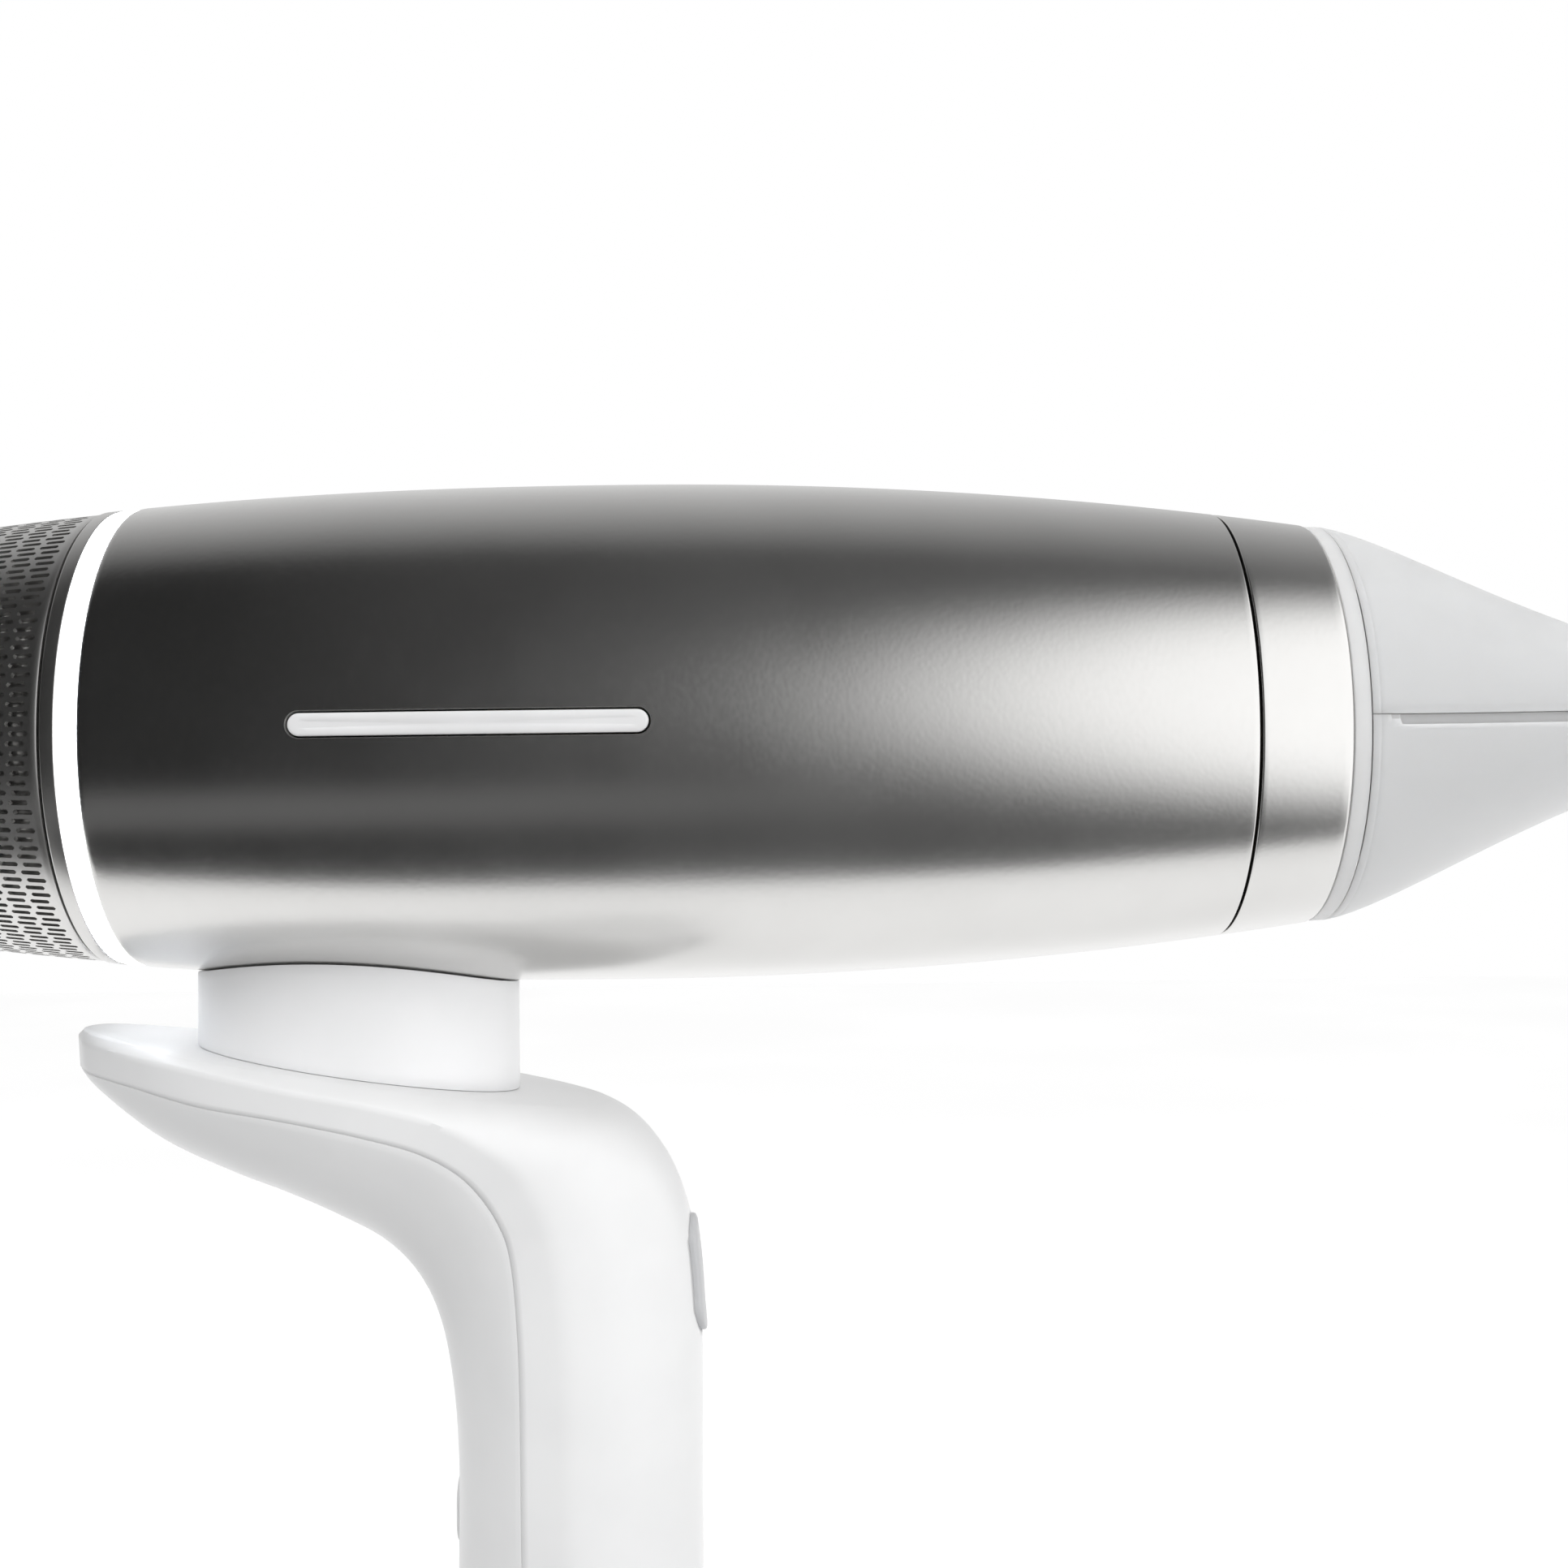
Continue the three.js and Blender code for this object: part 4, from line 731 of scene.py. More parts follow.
def lofted(name, rings, smooth_angle=35):
    """A closed body through rings, with a fan of faces over each end."""
    count = len(rings[0])
    verts = flat(rings)
    faces = grid_faces(len(rings), count, close_columns=True)
    for start in (0, (len(rings) - 1) * count):
        ring = verts[start : start + count]
        verts.append(tuple(sum(p[k] for p in ring) / count for k in range(3)))
        centre = len(verts) - 1
        faces += [(start + j, start + (j + 1) % count, centre) for j in range(count)]
    return mesh_from(name, verts, faces, smooth_angle)


bar_cutter = lofted(
    "bar cutter",
    [
        bar_ring(BAR_GAP + BAR_CHAMFER, 1.0),
        bar_ring(BAR_GAP + BAR_CHAMFER, 0.02),
        bar_ring(BAR_GAP + 0.08, -0.2),
        bar_ring(BAR_GAP, -0.4),
        bar_ring(BAR_GAP, -4.0),
    ],
)
print("bar cutter:", len(bar_cutter.vertices), "points")

# %% The neck's oval
NECK_X = middle("neck_sleeve", X)
NECK_HALF_X, NECK_HALF_Y = half_size("neck_sleeve", X), half_size("neck_sleeve", Y)
SPIGOT_STEP = 3.0


def oval(shrink, count=160):
    """Points (x, y) of the neck's oval, smaller all round by shrink."""
    half_x, half_y = NECK_HALF_X - shrink, NECK_HALF_Y - shrink
    return [(NECK_X + half_x * math.cos(a), half_y * math.sin(a)) for a in turns(count)]


hole = oval(SPIGOT_STEP - 0.3)
neck_cutter = lofted("neck cutter", [[(x, y, AXIS_Z - depth) for x, y in hole] for depth in (BARREL_R + 3, 20)])
print(f"neck {2 * NECK_HALF_X:.1f} by {2 * NECK_HALF_Y:.1f} mm at {NECK_X:.1f}")

# %% The barrel's skin
outer = [(x, shell_radius(x), 0) for x in steps(REAR_X + 2.5, SHELL_END_X - 1.0, 90)]
inner = [(x, shell_radius(x) - WALL, 0) for x in steps(SHELL_END_X, REAR_X, 30)]
barrel_profile = [(REAR_X, shell_radius(REAR_X), 1.5), *outer, (SHELL_END_X, shell_radius(SHELL_END_X), 0.3), *inner]
barrel_mesh = cut(turned("barrel_skin", barrel_profile, segments=256), bar_cutter, neck_cutter)
piece("barrel_skin", barrel_mesh, "casing", ["barrel_shell"], SATIN_METAL)

# %% [markdown]
# ## The indicator
#
# A strip of milky plastic fills the slot. It follows the barrel's curve, sits a hair below it, and its edge is
# rounded, so that a dark line runs all round between the strip and the metal.

# %% The indicator strip
strip = lofted(
    "indicator_strip",
    [
        bar_ring(0.12, -2.3),
        bar_ring(0.12, -0.3),
        bar_ring(0.08, -0.17),
        bar_ring(-0.05, -0.1),
        bar_ring(-0.4, -0.07),
        bar_ring(-1.0, -0.06),
    ],
    smooth_angle=50,
)
piece("indicator_strip", strip, "casing", ["indicator_bar"], DARK_GUIDE)

# %% [markdown]
# ## Bands and the light ring
#
# Ahead of the barrel is a wide band of the same metal that holds the nozzle's magnets. Behind it come the
# light ring, a narrow band, and the spigot that the intake cap pushes onto. All four are turned.

# %% Front band, light ring and rear band
front_profile = [
    (COLLAR_X, shell_radius(COLLAR_X), 0.3),
    *[(x, shell_radius(x), 0) for x in steps(COLLAR_X + 1, FRONT_X - 1.6, 12)],
    (FRONT_X, shell_radius(FRONT_X), 0.6),
    (FRONT_X, OUTLET_R, 0.4),
    (FRONT_X - 1.0, OUTLET_R, 0.2),
    (FRONT_X - 1.0, shell_radius(FRONT_X) - WALL, 0),
    (COLLAR_X, shell_radius(COLLAR_X) - WALL, 0),
]
piece("front_band", turned("front_band", front_profile), "casing", ["front_collar"], SATIN_METAL)

RING_R = span("light_ring", Z)[1] - AXIS_Z
ring_profile = [
    (RING_X0, RING_R - 0.15, 0.35),
    (RING_X1, RING_R, 0.35),
    (RING_X1, RING_R - 4.8, 0.2),
    (RING_X0, RING_R - 4.8, 0.2),
]
piece("glow_ring", turned("glow_ring", ring_profile), "casing", ["light_ring"], LIT_GUIDE)

SPIGOT_END = BAND_X0 + 8
SPIGOT_R = shell_radius(CAP_X - 8) - 1.7
band_profile = [
    (BAND_X1, shell_radius(BAND_X1), 0.3),
    (BAND_X1, SPIGOT_R - 1.5, 0.1),
    (BAND_X0, SPIGOT_R - 1.5, 0.4),
    (BAND_X0, SPIGOT_R, 0.4),
    (SPIGOT_END, SPIGOT_R, 0.1),
    (SPIGOT_END, shell_radius(SPIGOT_END), 0.3),
]
piece("rear_band", turned("rear_band", band_profile), "casing", ["rear_collar"], SMOOTH_METAL)

# %% [markdown]
# ## The intake cap
#
# Hundreds of small slots let the air in. Cutting each one with a boolean would be slow and leave ragged
# shading. Instead the skin is laid out as cells from the start: each cell is a small patch with a slot-shaped
# hole in it, made of twelve faces between the patch's edge and the slot's. Neighbouring rows of cells have
# their slots shifted a little, as on the object. A wall is then added on the inner side.

# %% One cell with a slot

def cell_border():
    """Twelve points round a unit cell: four stretches along the slot's length, two across it."""
    along = [(i / 4, 0.0) for i in range(4)]
    across = [(1.0, 0.0), (1.0, 0.5)]
    back = [(1 - i / 4, 1.0) for i in range(4)]
    down = [(0.0, 1.0), (0.0, 0.5)]
    return along + across + back + down


def slot_border(long_share, wide_share, shift):
    """Twelve points of a slot with round ends, inside a unit cell, one for each point of the cell's border."""
    half_u, half_v = long_share / 2, wide_share / 2
    nose = half_u * 0.16
    side = [-half_u + nose, -half_u / 2, 0.0, half_u / 2]
    points = [(u, -half_v) for u in side]
    points += [(half_u - nose, -half_v), (half_u, 0.0)]
    points += [(-u, half_v) for u in side]
    points += [(-half_u + nose, half_v), (-half_u, 0.0)]
    return [(0.5 + u + shift, 0.5 + v) for u, v in points]


def add_cell(verts, faces, to_skin, long_share, wide_share, shift):
    """Add a cell with its slot. to_skin turns the cell's (u, v) into a point of the skin."""
    first = len(verts)
    verts += [to_skin(u, v) for u, v in cell_border()]
    verts += [to_skin(u, v) for u, v in slot_border(long_share, wide_share, shift)]
    for i in range(12):
        j = (i + 1) % 12
        faces.append((first + i, first + j, first + 12 + j, first + 12 + i))


print("a cell has", len(cell_border()), "points on its edge")

# %% The cap's side
CAP_ROWS = 156
SLOT_PITCH = 3.6
SLOT_LENGTH = 2.9
SLOT_WIDTH = 0.75
SLOT_SHIFT = 0.28
CAP_CORNER = 7.0
CAP_DROP = 0.3
CAP_LIP = 1.2
CAP_WALL = 0.9


def cap_radius(x):
    """The cap's outer radius on its side, a little below the band ahead of it."""
    return shell_radius(x) - CAP_DROP


def cap_side(x, turn):
    r = cap_radius(x)
    return (x, r * math.sin(turn), AXIS_Z + r * math.cos(turn))


cap_verts, cap_faces = [], []
SIDE_START = CAP_X - CAP_LIP
SIDE_CELLS = int((SIDE_START - (CAP_END_X + CAP_CORNER)) / SLOT_PITCH)
SIDE_END = SIDE_START - SIDE_CELLS * SLOT_PITCH
ROW_TURN = 2 * math.pi / CAP_ROWS
for row in range(CAP_ROWS):
    shift = (SLOT_SHIFT if row % 2 else -SLOT_SHIFT) / SLOT_PITCH
    for column in range(SIDE_CELLS):
        start = SIDE_START - column * SLOT_PITCH

        def on_side(u, v, start=start, row=row):
            return cap_side(start - u * SLOT_PITCH, (row + v) * ROW_TURN)

        wide = SLOT_WIDTH / (ROW_TURN * cap_radius(start))
        add_cell(cap_verts, cap_faces, on_side, SLOT_LENGTH / SLOT_PITCH, wide, shift)
print(f"{CAP_ROWS * SIDE_CELLS} slots in the cap's side")

# %% [markdown]
# The rest of the cap is plain or slotted rings: a lip at its mouth, the rounded corner, and the end with two
# rings of radial slots. The inner ring has half as many slots, so a plain ring between the two joins two
# points of one to one of the other.

# %% The cap's mouth, corner and end
def add_rings(verts, faces, rings):
    """Plain faces between rings that have the same number of points."""
    first = len(verts)
    verts += flat(rings)
    faces += [tuple(first + i for i in face) for face in grid_faces(len(rings), len(rings[0]), close_columns=True)]


CAP_POINTS = 2 * CAP_ROWS
lip_rings = [ring_points(SIDE_START, cap_radius(SIDE_START), CAP_POINTS)]
for back, drop in ((0.4, 0.0), (0.1, 0.1), (0.0, 0.35)):
    lip_rings.append(ring_points(CAP_X - back, cap_radius(CAP_X) - drop, CAP_POINTS))
add_rings(cap_verts, cap_faces, lip_rings)

corner_x = CAP_END_X + CAP_CORNER
corner_r = cap_radius(corner_x) - CAP_CORNER
corner = [(SIDE_END, cap_radius(SIDE_END))]
if SIDE_END > corner_x + 0.05:
    corner.append((corner_x, cap_radius(corner_x)))
for a in steps(0, math.pi / 2, 10)[1:]:
    corner.append((corner_x - CAP_CORNER * math.sin(a), corner_r + CAP_CORNER * math.cos(a)))
add_rings(cap_verts, cap_faces, [ring_points(x, r, CAP_POINTS) for x, r in corner])
print(f"the corner ends at radius {corner_r:.1f}")

# %% The cap's end
END_RINGS = [corner_r - 1.2, corner_r - 9.4, corner_r - 11.0, corner_r - 17.8]
END_DOME = 0.5
END_SLOT = 0.9


def end_skin(r, turn, lift=0.0):
    """A point of the cap's end, which is very slightly hollow."""
    x = CAP_END_X + END_DOME * (1 - (r / corner_r) ** 2) - lift
    return (x, r * math.sin(turn), AXIS_Z + r * math.cos(turn))


def end_ring(r, count, lift=0.0):
    return [end_skin(r, a, lift) for a in turns(count)]


def slotted_ring(outer_r, inner_r, count, circles):
    """Radial slots in a few circles. Each cell has two stretches of border at either end."""
    turn = 2 * math.pi / count
    depth = (outer_r - inner_r) / circles
    for ring in range(circles):
        share = min(END_SLOT / (turn * (outer_r - (ring + 0.5) * depth)), 0.6)
        for k in range(count):

            def on_end(u, v, ring=ring, k=k):
                return end_skin(outer_r - (ring + u) * depth, (k + v) * turn)

            add_cell(cap_verts, cap_faces, on_end, 0.8, share, 0.0)


def halved(outer, inner):
    """Faces between a ring and one inside it that has half as many points."""
    first, count = len(cap_verts), len(inner)
    cap_verts.extend(outer + inner)
    for k in range(count):
        a, b = first + 2 * k, first + 2 * count + k
        cap_faces.append((a, a + 1, first + (2 * k + 2) % (2 * count), first + 2 * count + (k + 1) % count, b))


halved(end_ring(corner_r, CAP_POINTS), end_ring(END_RINGS[0], CAP_ROWS))
slotted_ring(END_RINGS[0], END_RINGS[1], CAP_ROWS // 2, 2)
halved(end_ring(END_RINGS[1], CAP_ROWS), end_ring(END_RINGS[2], CAP_ROWS // 2))
slotted_ring(END_RINGS[2], END_RINGS[3], CAP_ROWS // 4, 2)
hub_r = END_RINGS[3]
hub = [(hub_r, 0.0), (hub_r - 0.3, 0.0), (hub_r - 0.6, 0.3), (hub_r - 1.2, 0.4), (3.0, 0.45)]
add_rings(cap_verts, cap_faces, [end_ring(r, CAP_ROWS // 2, lift) for r, lift in hub])
cap_faces.append(tuple(range(len(cap_verts) - CAP_ROWS // 2, len(cap_verts))))
print(len(cap_verts), "points in the cap")

# %% The cap as a solid piece
cap_mesh = thicken(mesh_from("cap_shell", cap_verts, cap_faces), CAP_WALL)
piece("cap_shell", cap_mesh, "intake_cap_body", ["intake_cap"], SMOOTH_METAL)

# %% [markdown]
# ## The filter inside the cap
#
# Behind the slots sits a thin basket of woven wire that catches lint. Its tone is painted near black, which stands
# in for the shade inside the cap, so each slot shows dark from outside, with the dark inlet beyond it.

# %% Filter basket
BASKET_X0, BASKET_X1 = span("filter_basket", X)
BASKET_R = half_size("filter_basket", Z)


def filter_weave_painted_dark():
    material, tree, shader = new_material("woven filter, painted shade", Metallic=0.6, Roughness=0.45)
    # painted shade: these near-black tones stand in for the shade inside the cap, seen through the slots
    tones(tree, shader, (0.03, 0.03, 0.034), (0.07, 0.07, 0.076), 150.0, (0.3, 0.45))
    spot = place(tree, "ShaderNodeSeparateXYZ", Vector=here(tree, 6500.0))
    warp = math_node(tree, "ABSOLUTE", math_node(tree, "SINE", spot.outputs["X"]))
    weft = math_node(tree, "ABSOLUTE", math_node(tree, "SINE", spot.outputs["Z"]))
    bump(tree, shader, math_node(tree, "MULTIPLY", warp, weft), 0.00008)
    return material


basket_profile = [
    (BASKET_X1, BASKET_R, 0.2),
    (BASKET_X1, BASKET_R - 0.6, 0.2),
    (BASKET_X0 + 0.6, BASKET_R - 1.2, 4.0),
    (BASKET_X0 + 0.6, 0.0, 0.0),
    (BASKET_X0, 0.0, 0.0),
    (BASKET_X0, BASKET_R - 0.6, 4.6),
]
basket_mesh = turned("lint_basket", basket_profile, segments=96)
piece("lint_basket", basket_mesh, "intake_cap_body", ["filter_basket"], filter_weave_painted_dark())

# %% [markdown]
# ## The neck
#
# The neck is an upright oval tube. Its lower rim lies on the handle's sloping top, and its upper rim follows
# the barrel's underside with a thin dark gap. Each point of the oval knows both heights, so the rims come out
# exact, and small steps at both rims round them off.

# %% Neck sleeve
TOP_SLOPE = -0.155
SIT_GAP = 0.3
NECK_SEAM = 0.2
HEAD_Z = span("neck_sleeve", Z)[0] - SIT_GAP - TOP_SLOPE * NECK_HALF_X
NECK_WALL = 2.4


def head_top(x):
    """The handle's flat top at x."""
    return HEAD_Z + TOP_SLOPE * (x - NECK_X)


def under_barrel(x, y):
    """The barrel's underside, less the seam."""
    return AXIS_Z - math.sqrt((shell_radius(x) + NECK_SEAM) ** 2 - y**2)


def neck_ring(shrink, share, lift=0.0):
    """The oval at a share of the way from the handle's top to the barrel, moved up by lift."""
    ring = []
    for x, y in oval(shrink):
        low, high = head_top(x) + 0.05, under_barrel(x, y)
        ring.append((x, y, low + (high - low) * share + lift))
    return ring


neck_rows = [
    neck_ring(NECK_WALL, 0.0),
    neck_ring(0.25, 0.0),
    neck_ring(0.07, 0.0, 0.07),
    neck_ring(0.0, 0.0, 0.25),
    *[neck_ring(0.0, share) for share in steps(0.1, 0.9, 8)],
    neck_ring(0.0, 1.0, -0.25),
    neck_ring(0.07, 1.0, -0.07),
    neck_ring(0.25, 1.0),
    neck_ring(NECK_WALL, 1.0),
]
neck_faces = grid_faces(len(neck_rows), len(neck_rows[0]), close_rows=True, close_columns=True)
neck_mesh = mesh_from("neck_tube", flat(neck_rows), neck_faces)
piece("neck_tube", neck_mesh, "casing", ["neck_sleeve"], NECK_PLASTIC_PAINTED_LIGHTER)

# %% [markdown]
# ## The handle
#
# The handle has no simple outline: a slanted, flat-topped head with a pointed rear flows round a bend into the
# grip, and two soft creases run along it as if a ribbon had been laid over its side. Such a form is designed
# with rails. Here four of them run from the tip to the grip's end: the front line, the upper crease, the lower
# crease and the back line. Each is a smooth curve through a few stations, and each cross-section bulges from
# one rail to the next.

# %% The rails' stations
# x from the neck for the head's stations and from the grip's middle for the grip's; z from the flat top's
# height at the neck, or from the grip's middle; then the crease's half width as a share of the head's or grip's.
HEAD_HALF_Y = 23.0
GRIP_HALF_Y = 18.0
GRIP_FRONT = 19.5
GRIP_BACK = 18.6
HEAD_RAILS = {
    "front": [
        (-43.8, 5.9), (-40.5, 8.3), (-31, 6.9), (-20, 5.2), (-6, 3), (8, 0.8), (22, -1.5), (34, -4.1),
        (42.9, -8.1), (48.6, -14.7), (52, -23.7),
    ],
    "upper": [
        (-43.6, 5.3, 0.11), (-40.8, 4.9, 0.34), (-31.5, 3.5, 0.64), (-19.9, 1.8, 0.86), (-6.5, -0.9, 0.97),
        (6.5, -3.3, 1), (16, -6, 0.985), (22.1, -9.5, 0.94), (26.5, -12.8, 0.9), (29.4, -17.7, 0.855),
        (31.6, -23.9, 0.815),
    ],
    "lower": [
        (-43.3, 0.8, 0.11), (-40.3, 0.2, 0.34), (-31, -1.3, 0.63), (-20, -3.5, 0.85), (-7, -5.4, 0.96),
        (5, -7.9, 0.985), (13, -10.3, 0.965), (18.5, -13.5, 0.925), (21.8, -17.1, 0.88), (24.2, -21.1, 0.845),
        (25.6, -25.2, 0.81),
    ],
    "back": [
        (-43.2, 0.3), (-39.4, -3.5), (-29.5, -10.9), (-18, -16.1), (-9, -19.6), (-1.5, -23.1), (4.5, -26.5),
        (8.5, -30.3), (11.2, -34.5), (13, -39.2), (14.2, -44.7),
    ],
}
GRIP_RAILS = {
    "front": [(GRIP_FRONT, 50), (GRIP_FRONT, 20), (GRIP_FRONT - 0.3, -20), (GRIP_FRONT - 0.8, -68)],
    "upper": [(-0.6, 50, 1), (0, 20, 0.99), (0, -20, 0.96), (0, -68, 0.92)],
    "lower": [(-7.2, 50, 1), (-6.8, 20, 0.99), (-6.6, -20, 0.96), (-6.4, -68, 0.92)],
    "back": [(-GRIP_BACK, 32), (-GRIP_BACK, 8), (0.3 - GRIP_BACK, -24), (0.8 - GRIP_BACK, -68)],
}
STATIONS = len(HEAD_RAILS["front"]) + len(GRIP_RAILS["front"]) - 1


def stations_of(key):
    """A rail's stations as points in the model's frame, in millimetres."""
    points = []
    for x, z, *width in HEAD_RAILS[key]:
        points.append(Vector((NECK_X + x, sum(width) * HEAD_HALF_Y, HEAD_Z + z)))
    for x, z, *width in GRIP_RAILS[key]:
        points.append(Vector((x, sum(width) * GRIP_HALF_Y, z)))
    return points


RAILS = {key: stations_of(key) for key in HEAD_RAILS}
print(STATIONS + 1, "stations on each of", len(RAILS), "rails")

# %% [markdown]
# A centripetal Catmull-Rom curve goes through its points without loops or overshoots, even where they are
# unevenly spaced. Between two points it is a cubic, which is fixed by the two points and by how fast the curve
# passes each of them.

# %% A smooth curve through the stations
def on_rail(key, s):
    """The rail's point at station s, which may lie between two stations."""
    points = RAILS[key]
    i = min(int(s), STATIONS - 1)
    t = s - i
    p1, p2 = points[i], points[i + 1]
    p0 = points[i - 1] if i > 0 else 2 * p1 - p2
    p3 = points[i + 2] if i + 2 <= STATIONS else 2 * p2 - p1
    d0, d1, d2 = [max((b - a).length, 1e-4) ** 0.5 for a, b in ((p0, p1), (p1, p2), (p2, p3))]
    speed1 = ((p1 - p0) / d0 - (p2 - p0) / (d0 + d1) + (p2 - p1) / d1) * d1
    speed2 = ((p2 - p1) / d1 - (p3 - p1) / (d1 + d2) + (p3 - p2) / d2) * d1
    bend = -3 * p1 + 3 * p2 - 2 * speed1 - speed2
    turn = 2 * p1 - 2 * p2 + speed1 + speed2
    return p1 + speed1 * t + bend * t**2 + turn * t**3


CREASE_TURN = 0.39 * math.pi


def bulge(middle, crease, share, power):
    """A point between the handle's middle plane (share 0) and a crease (share 1).

    The curve is an oval's quarter that stops short of its end, so that it meets the crease at an angle.
    """
    turn = CREASE_TURN * share
    last = math.cos(CREASE_TURN) ** (2 / power)
    rise = (math.cos(turn) ** (2 / power) - last) / (1 - last)
    out = (math.sin(turn) / math.sin(CREASE_TURN)) ** (2 / power)
    return Vector((crease.x + (middle.x - crease.x) * rise, crease.y * out, crease.z + (middle.z - crease.z) * rise))


def roundness(s):
    """How square the front of a section is: nearly flat at the head, and rounder along the grip."""
    return 2.6 if s < 6 else max(2.1, 2.6 - (s - 6) * 0.12)


print("the front line ends at", [round(v, 1) for v in on_rail("front", STATIONS)])

# %% [markdown]
# The handle is moulded as two shells that meet at the lower crease: the front shell with the flat top, and the
# rear cover. A hair's gap of shadow shows where they meet. Each shell is an open skin first, then it gets its
# wall.

# %% Sections of the two shells
SHELL_GAP = 0.03
BACK_ROUNDNESS = 2.1
RINGS = 210
ROUND_SHARES = 22
BAND_COLUMNS = 6


def front_section(s):
    """From the left lower crease over the front to the right one."""
    front, upper, lower = (on_rail(key, s) for key in ("front", "upper", "lower"))
    away = (front - on_rail("back", s)).normalized() * SHELL_GAP
    half = [bulge(front, upper, share, roundness(s)) for share in steps(0, 1, ROUND_SHARES)]
    half += [upper.lerp(lower + away, share) for share in steps(0, 1, BAND_COLUMNS)[1:]]
    return [Vector((p.x, -p.y, p.z)) for p in reversed(half)] + half[1:]


def back_section(s):
    """From the left lower crease over the back to the right one."""
    lower, back = on_rail("lower", s), on_rail("back", s)
    away = (back - on_rail("front", s)).normalized() * SHELL_GAP
    half = [bulge(back, lower + away, share, BACK_ROUNDNESS) for share in steps(0, 1, ROUND_SHARES)]
    return [Vector((p.x, -p.y, p.z)) for p in reversed(half)] + half[1:]


def skin(name, section, first_station=0.0):
    """A shell's open skin through all its sections, with its first section filled in."""
    rows = [section(s) for s in steps(first_station, STATIONS, RINGS)]
    faces = grid_faces(len(rows), len(rows[0]))
    faces.append(tuple(range(len(rows[0]))))
    return mesh_from(name, flat(rows), faces)


print(len(front_section(5.0)), "points in a front section,", len(back_section(5.0)), "in a back one")

# %% [markdown]
# The flat top is a clean slice: a plane cuts the front skin, and the hole that it leaves is filled with one
# face. The same tool trims both shells at the end cap.

# %% Slicing and the flat top
def sliced(mesh, point, normal, fill=False):
    """The part of a mesh behind a plane."""
    work = bmesh.new()
    work.from_mesh(mesh)
    everything = work.verts[:] + work.edges[:] + work.faces[:]
    plane = {"plane_co": Vector(point) * MM, "plane_no": Vector(normal)}
    result = bmesh.ops.bisect_plane(work, geom=everything, clear_outer=True, **plane)
    if fill:
        rim = [e for e in result["geom_cut"] if isinstance(e, bmesh.types.BMEdge)]
        bmesh.ops.contextual_create(work, geom=rim)
    bmesh.ops.recalc_face_normals(work, faces=work.faces)
    work.to_mesh(mesh)
    work.free()
    mesh.polygons.foreach_set("use_smooth", [True] * len(mesh.polygons))
    return mesh


CAP_TOP_Z = span("end_cap", Z)[0] + 4.0
HANDLE_WALL = 2.2
up_from_top = Vector((-TOP_SLOPE, 0, 1)).normalized()
front_skin = sliced(skin("front_shell", front_section), (NECK_X, 0, HEAD_Z), up_from_top, fill=True)
front_skin = sliced(front_skin, (0, 0, CAP_TOP_Z + SIT_GAP), (0, 0, -1))
back_skin = sliced(skin("rear_cover", back_section), (0, 0, CAP_TOP_Z + SIT_GAP), (0, 0, -1))
print(len(front_skin.polygons), "faces in the front skin,", len(back_skin.polygons), "in the back one")

# %% [markdown]
# ## Openings for the keys
#
# The back of the grip has a long pill-shaped panel with two keys and the power slider, and the front has one
# larger key for the cool shot. A pill along the X axis cuts each opening, and the same pill with soft edges is
# the key itself.

# %% Pills along X
def pill_rings(stations, z=0.0):
    """Rings of a pill that points along X, each given as (x, half width, half height)."""
    rings = []
    for x, half_y, half_z in stations:
        rings.append([(x, v, z + u) for u, v in pill_outline(half_z, half_y, arc=12, along=6)])
    return rings


KEY_GAP = 0.25
OUTSIDE_X = 30


def pill_cutter(inner_x, way, half_y, half_z, z, gap=KEY_GAP):
    """A pill from inside the grip out through its front (way 1) or its back (way -1), with a gap all round."""
    ends = sorted((inner_x, way * OUTSIDE_X))
    return lofted("pill cutter", pill_rings([(x, half_y + gap, half_z + gap) for x in ends], z))


def key_mesh(name, base_x, face_x, half_y, half_z, z, dish=0.25):
    """A key with soft edges and a dished face. Its face may look either way along X."""
    way = 1 if face_x > base_x else -1
    stations = [
        (base_x, half_y, half_z),
        (face_x - way * 0.6, half_y, half_z),
        (face_x - way * 0.25, half_y - 0.08, half_z - 0.08),
        (face_x - way * 0.06, half_y - 0.28, half_z - 0.28),
        (face_x, half_y - 0.6, half_z - 0.6),
        (face_x - way * dish * 0.5, half_y - 1.2, half_z - 1.2),
        (face_x - way * dish, half_y - 2.2, half_z - 2.2),
    ]
    return lofted(name, pill_rings(stations, z), smooth_angle=50)


COOL_Z = middle("cool_shot_button", Z)
PANEL_HALF_Y = span("control_panel", Y)[1]
PANEL_HALF_Z = span("control_panel", Z)[1]
PANEL_X0, PANEL_X1 = span("control_panel", X)
COOL_HALF_Y = 4.6
COOL_HALF_Z = 9.0
front_wall = cut(thicken(front_skin, HANDLE_WALL), pill_cutter(0, 1, COOL_HALF_Y, COOL_HALF_Z, COOL_Z))
back_wall = cut(thicken(back_skin, HANDLE_WALL), pill_cutter(-4, -1, PANEL_HALF_Y, PANEL_HALF_Z, 0))
piece("front_shell", soften(front_wall, 0.3), "casing", ["handle_front_shell"], WHITE_PLASTIC)
piece("rear_cover", soften(back_wall, 0.2), "casing", ["handle_rear_cover"], WHITE_PLASTIC)

# %% [markdown]
# ## The control panel, its keys and the slider
#
# The panel lies a little below the grip's surface. The two keys set the heat and the speed, and the slider
# switches the dryer on. The keys are a slightly darker grey, and the slider has three raised ribs for the
# thumb. Each key also has a dot or bars moulded into its face, so that it can be told apart by touch.

# %% Panel and keys
KEY_SMOOTH = 50


